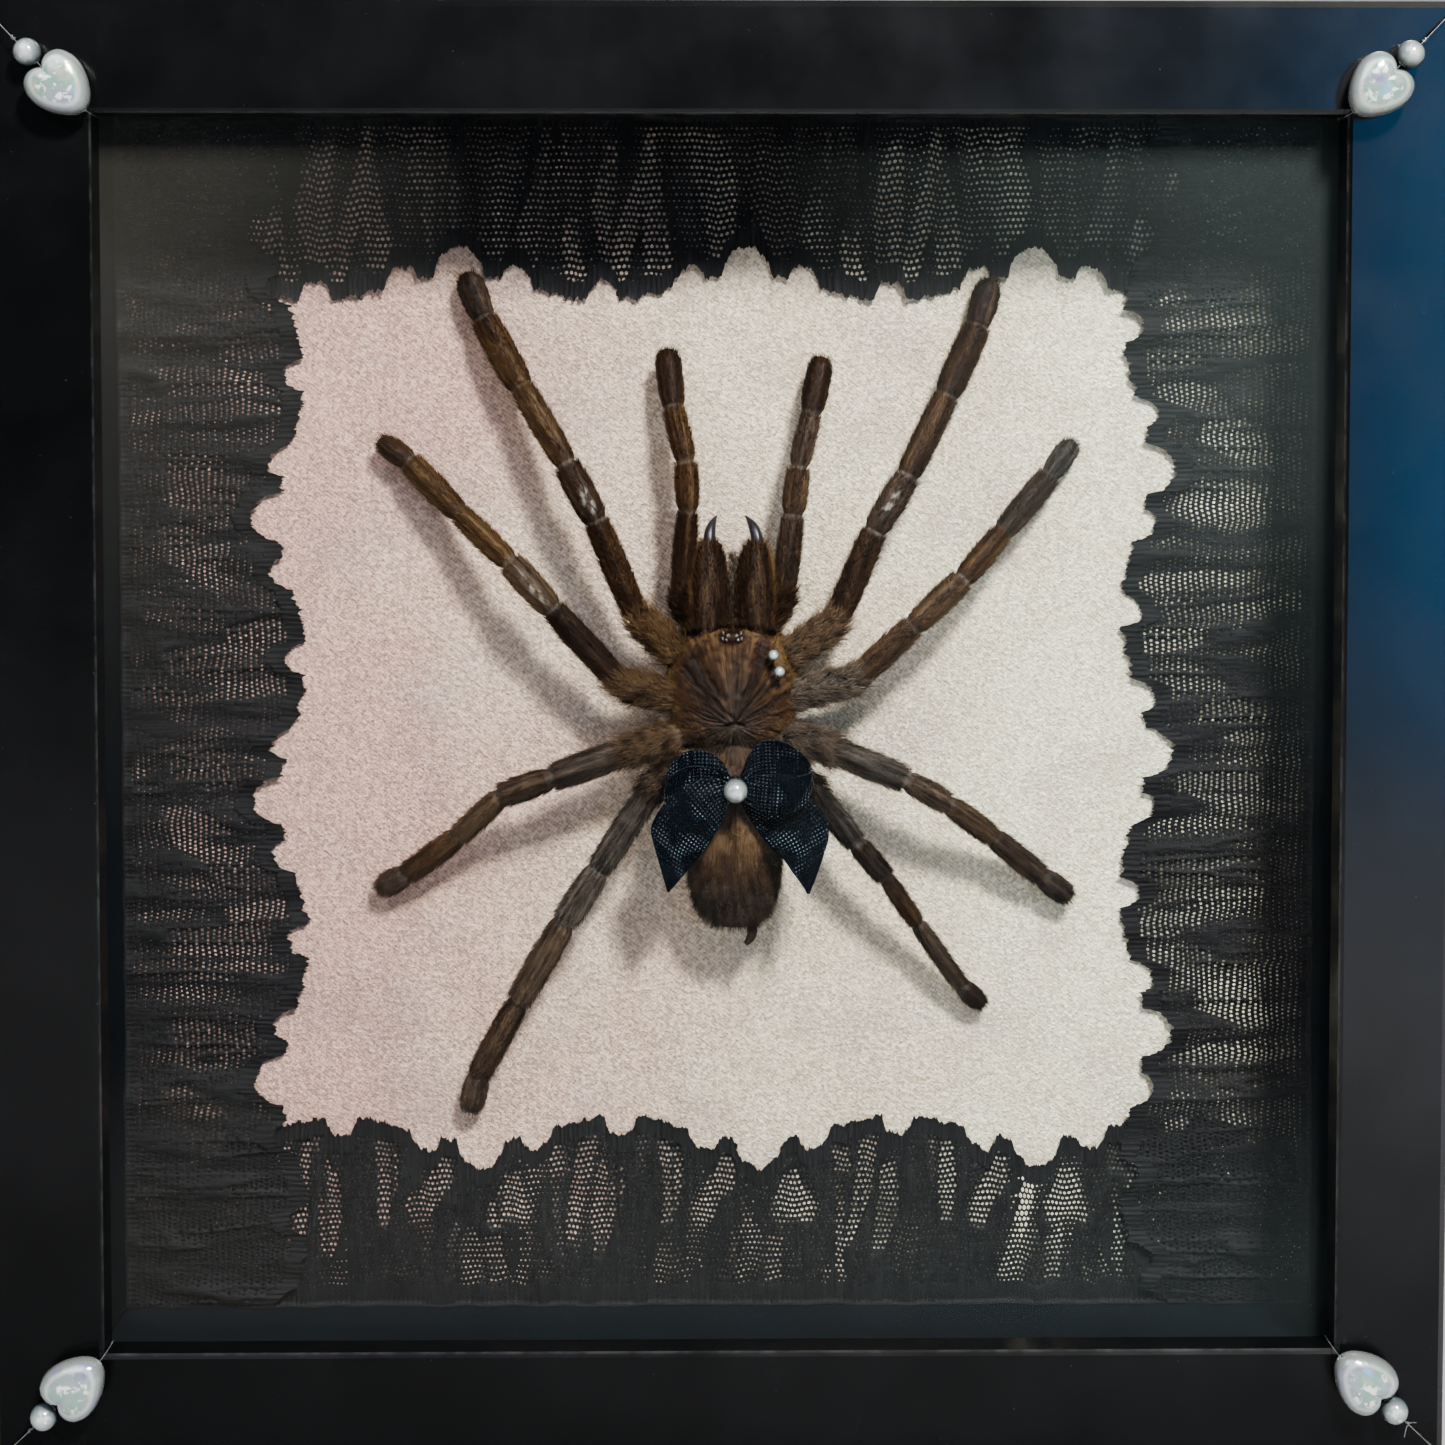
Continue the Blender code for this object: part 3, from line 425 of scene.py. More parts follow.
# %% Glass for the pane
def pane_glass():
    """Transparent, with a diffuse share that is a painted reflection of the room, and mirror on top
    by Fresnel, with faint smears in it.
    """
    made = Finish("pane_glass", Roughness=0.05)
    clear = made.node("BsdfTransparent", {"Color": (0.985, 0.99, 0.985, 1.0)})
    axes = made.split()
    cloud = made.noise(made.place(), 16.0, 2.0)
    # High, aside, left and low place the diffuse share, a painted reflection of the room in the
    # glass, and its tint.
    high = made.spread(axes["Z"], 0.10, 0.235)
    aside = made.spread(axes["X"], 0.01, 0.10)
    left = made.spread(axes["X"], -0.04, -0.10)
    share = made.sums("MULTIPLY_ADD", made.times(high, aside), 0.012, 0.0002)
    share = made.sums("MULTIPLY_ADD", made.times(high, left), 0.009, share)
    low = made.spread(axes["Z"], 0.066, 0.034)
    share = made.sums("MULTIPLY_ADD", low, 0.003, share)
    share = made.times(share, made.spread(cloud, 0.3, 0.7, 0.6, 1.4))
    painted_reflection_tint = made.blend(made.spread(axes["X"], -0.1, 0.1), (0.95, 0.88, 0.70), (0.72, 0.95, 0.86))
    painted_room_reflection = made.node("BsdfDiffuse", {"Color": painted_reflection_tint})
    clear = made.node("MixShader", {0: share, 1: clear, 2: painted_room_reflection})
    smear = made.noise(made.place((1.0, 1.0, 2.2), (0.0, 0.5, 0.0)), 26.0, 4.0)
    shine = made.node("BsdfGlossy", {"Color": (0.93, 1.0, 0.97, 1.0),
                                     "Roughness": made.spread(smear, 0.45, 0.75, 0.015, 0.09)})
    mirror = made.node("Fresnel", {"IOR": 1.10})
    both = made.node("MixShader", {0: mirror, 1: clear, 2: shine})
    end = made.tree.nodes["Material Output"]
    made.tree.links.new(both, end.inputs["Surface"])
    made.tree.nodes.remove(made.shader)
    return made.material


dress(["glass_pane"], pane_glass())
print("dressed rails, spacers and pane")

# %% [markdown]
# ## The satin
#
# The cloth is pulled over the board and turned in behind it.  It is computed from its own flat
# coordinates: as far as the board's edge they are simply x and z, and beyond it the cloth goes back
# along the board's side.  Cloth that is only held at its edges is never quite flat, so it carries
# shallow ripples and a few soft dents.  The weave is far too fine for a mesh.  It is a pattern of
# small slanted floats in the material: bright threads on top, dark gaps between them, and here and
# there a thread that flashes, a painted highlight that is brighter and more frequent towards the
# right.  The colour also goes from pink on the left to cream on the right: the hues are the cloth's
# own, but the rise in brightness to the right is painted light, and soft duller patches over it are
# painted variations of the satin's sheen.

# %% Satin cloth
CLOTH_Y = 11.0
CLOTH_HALF, CLOTH_BACK, MIDDLE_Z = 105.4, 13.9, 118.0
# Dents: middle x and z, half width and half height, depth, in mm
DENTS = [(62.0, 170.0, 9.0, 4.0, 0.30), (14.0, 189.0, 3.0, 5.0, 0.25),
         (-34.0, 88.0, 14.0, 5.0, 0.16), (60.0, 95.0, 6.0, 20.0, 0.14),
         (-66.0, 170.0, 5.0, 18.0, 0.14)]


def inside(x, z, height):
    """Points at x and z, height above the cloth: millimetres in, metres out."""
    x, z, height = np.broadcast_arrays(x, z, height)
    return np.stack([x, CLOTH_Y - height, z], -1) * MM


def satin_cloth():
    """y = cloth level + ripples + dents on the front, and straight back along the board's edges."""
    inner = np.linspace(-CLOTH_HALF + 0.5, CLOTH_HALF - 0.5, 171)
    over = CLOTH_HALF + np.array([-0.15, 0.1, 1.2, CLOTH_BACK - CLOTH_Y])
    flat = np.concatenate([-over[::-1], inner, over])
    a, b = np.meshgrid(flat, flat, indexing="ij")
    past = np.maximum(np.abs(a), np.abs(b)) - CLOTH_HALF
    x, z = np.clip(a, -CLOTH_HALF, CLOTH_HALF), np.clip(b, -CLOTH_HALF, CLOTH_HALF)
    calm = 1 - smoothstep(90, 104, np.maximum(np.abs(a), np.abs(b)))
    relief = 0.10 * ripple(21, x / 16, z / 22) + 0.05 * ripple(22, x / 7, z / 9, waves=8)
    for cx, cz, wide, tall, deep in DENTS:
        relief = relief + deep * np.exp(-((x - cx) / wide) ** 2 - ((z + MIDDLE_Z - cz) / tall) ** 2)
    y = CLOTH_Y + 0.12 + np.clip(relief, -0.12, 0.35) * calm + np.maximum(past, 0)
    points = np.stack([x, y, z + MIDDLE_Z], -1).reshape(-1, 3) * MM
    corner = ((np.abs(a) > CLOTH_HALF) & (np.abs(b) > CLOTH_HALF)).ravel()
    faces = grid_faces(len(flat), len(flat))
    faces = faces[~corner[faces].any(1)]
    weft = np.stack([a, b, 0 * a], -1).reshape(-1, 3) * MM
    made = piece("satin", points, [faces], weave_finish(), {"weft": weft},
                 replaces=["satin_cloth"], slot="satin")
    thicken(made, 0.3, -1)


def weave_finish():
    """Waves on two slanted axes, a random tone for each crossing and noise add up to the share from
    gap to ground.  Both colours go from pink on the left to cream on the right, and get brighter
    there as painted light; duller patches are painted sheen, and flashing threads are painted
    highlights."""
    made = Finish("satin_weave", Roughness=0.42, Specular_IOR_Level=0.3, Sheen_Weight=0.1,
                  Sheen_Roughness=0.35)
    weft = made.own("weft", vector=True)
    turned = made.node("Mapping", {"Vector": weft, "Rotation": (0, 0, -0.948)})
    parts = made.split(turned)
    floats = made.sums("ADD", made.wave(parts[0], 0.58), made.times(made.wave(parts[1], 0.52), 0.7))
    grain = made.noise(weft, 1500.0, 3.0, 0.65)
    cells = made.node("TexVoronoi", {"Vector": turned, "Scale": 1 / (0.54 * MM), "Randomness": 0.5},
                      output="Color")
    glance = made.spread(cells, 0.12, 0.88, -1.0, 1.0)
    # Flashing threads: a painted highlight in the colour, with real metallic shine and lower
    # roughness.
    flash_and_painted_highlight = made.times(made.spread(made.sums("MULTIPLY_ADD", glance, 0.10, grain), 0.50, 0.62),
                       made.spread(made.noise(weft, 110.0, 3.0), 0.35, 0.65, 0.3, 1.0))
    slub = made.noise(made.stretched(weft, (1.0, 0.12, 1.0)), 500.0, 3.0)
    cloud = made.noise(weft, 26.0, 2.0)
    # From left to right: pink to cream is the cloth's own hue, and the rise in brightness is
    # painted light, as the light is stronger on the right.
    across = made.spread(made.sums("MULTIPLY_ADD", cloud, 0.12, made.split(weft)[0]), 0.0, 0.14)
    ground = made.blend(across, (0.63, 0.37, 0.275), (1.0, 0.94, 0.64))
    gap = made.blend(across, (0.24, 0.14, 0.104), (0.46, 0.40, 0.25))
    # Duller patches: painted variations of the satin's sheen.
    ground = made.blend(made.spread(made.noise(weft, 48.0, 2.0), 0.5, 0.68, 0.0, 0.75), ground,
                        made.blend(across, (0.42, 0.275, 0.235), (0.62, 0.48, 0.40)))
    tone = made.sums("MULTIPLY_ADD", floats, 0.45, made.spread(slub, 0.3, 0.7, -0.2, 0.2))
    tone = made.sums("ADD", tone, made.spread(grain, 0.36, 0.64, -0.4, 0.4))
    tone = made.spread(made.sums("ADD", tone, glance), -1.5, 1.3)
    colour = made.blend(tone, gap, ground)
    # The painted highlights grow towards the right, where the light is stronger.
    flash_and_painted_highlight = made.times(flash_and_painted_highlight, made.spread(across, 0.0, 1.0, 0.25, 1.0))
    colour = made.blend(flash_and_painted_highlight, colour, made.blend(across, (0.88, 0.63, 0.52), (1.0, 0.98, 0.78)))
    return made.set(Base_Color=colour, Normal=made.bump(grain, 1.0, 0.0006),
                    Roughness=made.spread(flash_and_painted_highlight, 0.0, 1.0, 0.5, 0.30),
                    Metallic=made.times(flash_and_painted_highlight, made.spread(across, 0.0, 1.0, 0.15, 0.75)))


satin_cloth()

# %% [markdown]
# ## The lace
#
# Each trim is a net that was gathered along one side, so its folds run from the frame inwards.
# Where the net lies flat, its holes show the satin as rows of light dots; where it is folded over
# itself, the layers cover each other's holes and it is black.
#
# So the net is built as a brickwork of six-sided cells.  A cell has a ring of threads round a
# hole, and the hole's size comes from a map of how open the net is there.  The map takes the
# largest of some long leaf shapes, which belong to one repeat of the scalloped edge and come back,
# slightly changed, with every repeat.  A closed, dense border with a frayed edge follows the
# scallops.

# %% The trims' edges and their open places
LACE_OUTER, LOWEST_TRIM = 102.6, 0.35
NET = {"low": (0.76, 0.99), "high": (0.86, 1.12), "side": (0.71, 0.98)}   # pitch and row, in mm
# Scoops of one repeat: place as a share of it, depth in mm, half width as a share
SCOOPS = ((0.0, 4.6, 0.085), (0.2, 2.9, 0.055), (0.5, 3.4, 0.055), (0.8, 2.9, 0.055))
# name, quarter turns, height above the cloth, middle of a deep scoop, repeat, depth, leaf pattern
LACE_TRIMS = (
    ("bottom", 0, 0.35, 6.9, 48.3, 23.8, "low"),
    ("right", 1, 1.45, -6.2, 49.0, 24.0, "side"),
    ("top", 2, 0.35, -4.7, 49.2, 21.8, "high"),
    ("left", 3, 1.45, 14.3, 48.8, 22.2, "side"),
)
# Leaves of one repeat: how open, then (place along in mm, share of the depth, half width in mm)
LEAVES = {
    "low": [
        (0.55, (-21.5, 0.93, 0.4), (-19.6, 0.12, 0.5)),
        (1.0, (-17.3, 0.97, 1.6), (-16.3, 0.87, 2.3), (-15.8, 0.68, 1.8), (-16.4, 0.42, 0.7)),
        (0.5, (-15.4, 0.42, 1.3), (-15.0, 0.13, 3.4)),
        (1.0, (-6.2, 0.92, 1.0), (-7.0, 0.79, 2.6), (-8.2, 0.68, 2.9), (-10.4, 0.6, 2.4),
         (-11.1, 0.47, 0.7)),
        (0.7, (-2.3, 0.62, 0.4), (-4.0, 0.47, 0.6), (-6.0, 0.12, 0.8)),
        (0.55, (-1.5, 0.57, 0.8), (-1.0, 0.4, 2.5), (-0.3, 0.12, 5.0)),
        (1.0, (5.2, 0.82, 1.4), (4.7, 0.73, 3.4), (5.4, 0.6, 4.3), (5.7, 0.49, 2.6)),
        (0.8, (2.5, 0.5, 1.5), (3.0, 0.13, 1.3)), (0.5, (9.0, 0.47, 1.0), (11.4, 0.14, 1.7)),
        (0.9, (13.6, 0.9, 1.4), (14.1, 0.7, 1.8)), (0.7, (13.1, 0.7, 0.5), (14.9, 0.12, 0.6)),
        (1.0, (19.8, 1.0, 1.1), (18.6, 0.87, 1.6), (17.3, 0.62, 1.6), (15.8, 0.32, 0.7)),
        (0.95, (22.5, 0.84, 0.9), (22.3, 0.68, 2.0), (21.8, 0.5, 2.0), (20.6, 0.25, 0.7))],
    "high": [
        (0.8, (8.4, 0.05, 4.6), (4.1, 0.55, 3.8), (3.4, 0.93, 2.0)),
        (0.55, (-5.1, 0.16, 5.0), (-5.3, 0.6, 4.2), (-5.1, 0.92, 1.8)),
        (0.7, (-14.2, 0.05, 0.7), (-12.5, 0.5, 1.2), (-10.5, 0.87, 2.4)),
        (0.6, (-17.1, 0.05, 0.8), (-18.5, 0.4, 0.9), (-18.9, 0.55, 0.9)),
        (0.95, (-18.7, 0.52, 0.7), (-18.1, 0.72, 1.8), (-20.2, 0.97, 1.9)),
        (0.9, (23.5, 0.12, 1.2), (24.7, 0.5, 2.7), (24.4, 0.92, 1.4)),
        (0.95, (16.3, 0.04, 0.8), (17.0, 0.3, 1.7), (20.4, 0.7, 1.8), (21.3, 0.97, 1.2)),
        (0.95, (15.8, 0.3, 1.0), (15.3, 0.6, 2.1), (14.0, 0.92, 2.3)),
        (0.5, (12.5, 0.03, 1.4), (10.8, 0.4, 1.7), (9.0, 0.8, 1.4)),
        (0.4, (-9.5, 0.04, 1.8), (-8.8, 0.5, 1.2))],
    "side": [
        (0.9, (-23.5, 0.25, 2.6), (-24.5, 0.55, 3.4), (-24.5, 0.88, 2.6)),
        (1.0, (19.6, 0.55, 1.2), (19.0, 0.8, 2.2), (18.6, 0.97, 1.4)),
        (0.85, (11.5, 0.5, 2.0), (12.6, 0.7, 3.5), (13.5, 0.92, 1.8)),
        (1.0, (4.0, 0.26, 3.0), (5.0, 0.48, 5.0), (6.0, 0.7, 3.0)),
        (1.0, (-6.3, 0.28, 3.8), (-6.2, 0.55, 5.2), (-4.6, 0.84, 1.8)),
        (0.65, (-14.4, 0.25, 0.9), (-13.6, 0.6, 1.1), (-13.0, 0.93, 1.0)),
        (0.95, (-18.0, 0.25, 1.0), (-19.3, 0.6, 1.7), (-20.4, 1.0, 1.5)),
        (0.5, (0.0, 0.04, 9.0), (0.5, 0.25, 8.0)), (0.5, (-20.0, 0.04, 5.0), (-19.0, 0.22, 4.0)),
        (0.45, (16.0, 0.08, 3.0), (15.5, 0.5, 2.2))],
}
# How open the leaves, the rest, and the creases between folds are in each pattern
LEAF_SHARE = {"low": 0.93, "high": 1.0, "side": 0.84}
VEIL = {"low": 0.27, "high": 0.30, "side": 0.42}
CREASED = {"low": 0.35, "high": 0.55, "side": 0.75}


def lace_edge(along, middle, repeat, depth):
    """A trim's depth: lobes that swell once in a repeat, less the round scoops between them."""
    phase = (along - middle) / repeat
    lobe = depth + 4.6 + 4.6 * (0.5 - 0.5 * np.cos(2 * np.pi * phase))
    lobe = lobe + 0.3 * ripple(73, along * 1.3 + middle, waves=9)
    edge = lobe
    for at, cut, half in SCOOPS:
        away = np.abs((phase - at + 0.5) % 1.0 - 0.5) / half
        edge = np.minimum(edge, lobe - cut * np.sqrt(np.clip(1 - away ** 2, 0, 1)))
    return edge


def openness(along, share, middle, repeat, pattern, seed):
    """The largest of the leaves at each place, over a thin veil; 0 is closed, 1 is wide open."""
    turn = np.floor((along - middle) / repeat + 0.5)
    local = along - middle - turn * repeat
    local = local + 0.5 * ripple(seed, turn * 9.0, share * 2.0) + 0.3 * np.sin(2.1 * turn + seed)
    opened = VEIL[pattern] * (0.8 + 0.7 * ripple(seed + 1, along * 0.35, share * 3.0, waves=8))
    for strength, *spine in LEAVES[pattern]:
        spine = np.array(sorted(spine, key=lambda knot: knot[1]))
        centre = np.interp(share, spine[:, 1], spine[:, 0])
        half = np.interp(share, spine[:, 1], spine[:, 2]) + 0.25
        off = (local - centre + repeat / 2) % repeat - repeat / 2
        ends = smoothstep(spine[0, 1] - 0.04, spine[0, 1] + 0.05, share) \
            * (1 - smoothstep(spine[-1, 1] - 0.05, spine[-1, 1] + 0.04, share))
        leaf = strength * ends * (1 - smoothstep(0.72, 1.12, np.abs(off) / half))
        opened = np.maximum(opened, leaf * LEAF_SHARE[pattern])
    crease = np.abs(ripple(seed + 2, along * 0.75, share * 1.1, waves=10, lowest=0.5, highest=3.0))
    seam = bell(crease, 0.34, 0.10) * smoothstep(0.05, 0.2, share)
    opened = np.maximum(opened, 0.45 * seam)
    return np.clip(opened * (1 - CREASED[pattern] * (1 - smoothstep(0.06, 0.24, crease))), 0, 1)


# %% Net and border of one trim
HOLE_SHARE = (0.38, 0.305)   # radius of the widest hole, as shares of the pitch and of the row
# Closed strips in mm: along the gathered edge, and along the scallops
HEADING, BORDER = {"low": 2.8, "side": 1.4, "high": 0.3}, 2.1


def lace_level(along, inward, opened, height, seed):
    """Height over the cloth: folds stand up, ribs run inwards, and corners lie over other trims."""
    fold = np.clip(1 - opened, 0, 1)
    swell = 0.45 * (1 + ripple(seed + 5, along * 0.42, inward * 0.06, waves=9)) * fold
    rib = 0.06 * np.sin(2 * np.pi * along / 0.9 + 2 * ripple(seed + 6, along * 0.2, inward * 0.2))
    lie = LOWEST_TRIM + (height - LOWEST_TRIM) * smoothstep(60, 68, np.abs(along))
    return lie + np.clip(0.15 + swell + rib * fold, 0.0, 1.35)


def lace_net(middle, repeat, depth, height, pattern, seed):
    """Cells in brickwork.  Corners of cells are shared; the ring round each hole is lower, which
    gives the threads a rounded top.  Closed cells are one six-sided face."""
    pitch, step_in = NET[pattern]
    columns = int(2 * LACE_OUTER / pitch)
    rows = int(34 / step_in)
    row, column = np.meshgrid(np.arange(rows), np.arange(columns), indexing="ij")
    along = (column - columns / 2 + 0.5 * (row % 2)) * pitch
    inward = 0.5 + row * step_in
    edge = lace_edge(along, middle, repeat, depth)
    keep = (inward < edge - 1.0) & (np.abs(along) < LACE_OUTER - 0.7)
    along, inward, edge = along[keep], inward[keep], edge[keep]
    opened = openness(along, inward / edge, middle, repeat, pattern, seed)
    opened = opened * smoothstep(HEADING[pattern] - 0.5, HEADING[pattern] + 0.5, inward) \
        * smoothstep(BORDER - 0.6, BORDER + 0.6, edge - inward)
    hexagon = np.radians(30 + 60 * np.arange(6))
    step = np.stack([np.cos(hexagon) * pitch / math.sqrt(3), np.sin(hexagon) * step_in / 1.5], -1)
    centre = np.stack([along, inward], -1)[:, None]
    outer = np.round((centre + step) / (pitch / 12)).astype(np.int64)
    _, first, number = np.unique(outer.reshape(-1, 2), axis=0, return_index=True,
                                 return_inverse=True)
    corners = (centre + step).reshape(-1, 2)[first]
    number = number.reshape(-1, 6)
    wide = opened > 0.1
    size = np.sqrt(np.clip(opened[wide], 0, 1))[:, None, None]
    radius = np.array(HOLE_SHARE) * NET[pattern] * size
    draw = np.random.default_rng(seed)
    wobble = 1 + draw.normal(0, 0.09, (wide.sum(), 6, 1))
    ring = (centre[wide] + radius * wobble * np.stack([np.cos(hexagon), np.sin(hexagon)], -1))
    flat = np.concatenate([corners, ring.reshape(-1, 2)])
    edge_all = lace_edge(flat[:, 0], middle, repeat, depth)
    open_all = openness(flat[:, 0], flat[:, 1] / edge_all, middle, repeat, pattern, seed)
    level = lace_level(flat[:, 0], flat[:, 1], open_all, height, seed)
    level[len(corners):] -= 0.10
    sway = 0.25 * ripple(seed + 7, flat[:, 0] * 0.4, flat[:, 1] * 0.2)
    flat = flat + np.stack([0.5 * sway, sway * smoothstep(0, 3, flat[:, 1])], -1)
    inner = len(corners) + np.arange(wide.sum() * 6).reshape(-1, 6)
    here, there = number[wide], np.roll(number[wide], -1, 1)
    threads = np.stack([here, there, np.roll(inner, -1, 1), inner], -1).reshape(-1, 4)
    return flat, level, [threads, number[~wide]]


def lace_border(middle, repeat, depth, height, seed):
    """A dense, ribbed strip with a frayed rim on the scallops, and a tape along the outer edge."""
    draw = np.random.default_rng(seed + 3)
    along = np.linspace(-LACE_OUTER, LACE_OUTER, 1150)
    edge = lace_edge(along, middle, repeat, depth)
    jag = draw.normal(0, 0.13, len(along)) + 0.3 * (draw.uniform(size=len(along)) < 0.3)
    back = np.array([3.0, 2.2, 1.4, 0.7, 0.0])[:, None]
    inward = edge - back + jag * (back < 0.5)
    opened = openness(along + 0 * inward, inward / edge, middle, repeat, "low", seed)
    level = lace_level(along + 0 * inward, inward, 0.3 * opened, height, seed) + 0.08
    level = level + 0.12 * (back < 0.5)
    tape = np.array([-0.15, 0.0, 0.7, 1.4])[:, None] + 0 * along
    inwards = np.concatenate([inward, tape])
    flat = np.stack([along + 0 * inwards, inwards], -1).reshape(-1, 2)
    level = np.concatenate([level, lace_level(along + 0 * tape, tape, 0.2, height, seed) + 0.06
                            + 1.1 * (tape < 0)])
    return flat, level.ravel(), [grid_faces(5, len(along)),
                                 grid_faces(4, len(along), first=5 * len(along))]


def lace_finish():
    """Black thread: near black, slightly browner or bluer in soft patches, with fine ribs."""
    made = Finish("black_net_thread", Roughness=0.7, Specular_IOR_Level=0.12)
    run = made.own("run", vector=True)
    ribs = made.noise(made.stretched(run, (1.0, 0.06, 1.0)), 2600.0, 2.0)
    patch = made.noise(run, 60.0, 2.0)
    colour = made.blend(patch, (0.0016, 0.0015, 0.0017), (0.0032, 0.0028, 0.0030))
    colour = made.blend(made.spread(ribs, 0.45, 0.75), colour, (0.0085, 0.0082, 0.0085))
    return made.set(Base_Color=colour, Normal=made.bump(ribs, 0.6, 0.0002))


def lace(finish):
    """The four trims: flat layouts turned into place round the frame's middle."""
    for k, (name, turns, height, middle, repeat, depth, pattern) in enumerate(LACE_TRIMS):
        seed = 211 + 20 * k
        net = lace_net(middle, repeat, depth, height, pattern, seed)
        border = lace_border(middle, repeat, depth, height, seed)
        flat = np.concatenate([net[0], border[0]])
        level = np.concatenate([net[1], border[1]])
        faces = net[2] + [f + len(net[0]) for f in border[2]]
        angle = -turns * math.pi / 2
        x, z = flat[:, 0], flat[:, 1] - LACE_OUTER
        points = np.stack([x * math.cos(angle) + z * math.sin(angle), CLOTH_Y - level,
                           -x * math.sin(angle) + z * math.cos(angle) + MIDDLE_Z], -1) * MM
        run = np.stack([flat[:, 0], flat[:, 1], level], -1) * MM
        made = piece("lace_net_" + name, points, faces, finish, {"run": run},
                     replaces=["lace_" + name], slot="lace")
        print(made.name, "faces:", len(made.data.polygons))


lace(lace_finish())


# %% [markdown]
# ## The tarantula: skin, hairs, and how they share the work
#
# A dried tarantula is a set of tubes under fur.  A leg has six visible segments and a palp has
# five, with thin pale skin at the joints between them, and all of it carries hairs that lie
# towards the tip.  A brown material alone would look like clay.  So the skin is a smooth surface
# along each limb's line, a little thinner than the CAD solid, and tens of thousands of small
# needles lie on it and fill the rest of the solid's width.  Colours that belong to a place, such
# as a pale joint or a golden knee, are worked out at each point and stored with it, so skin and
# hairs agree.

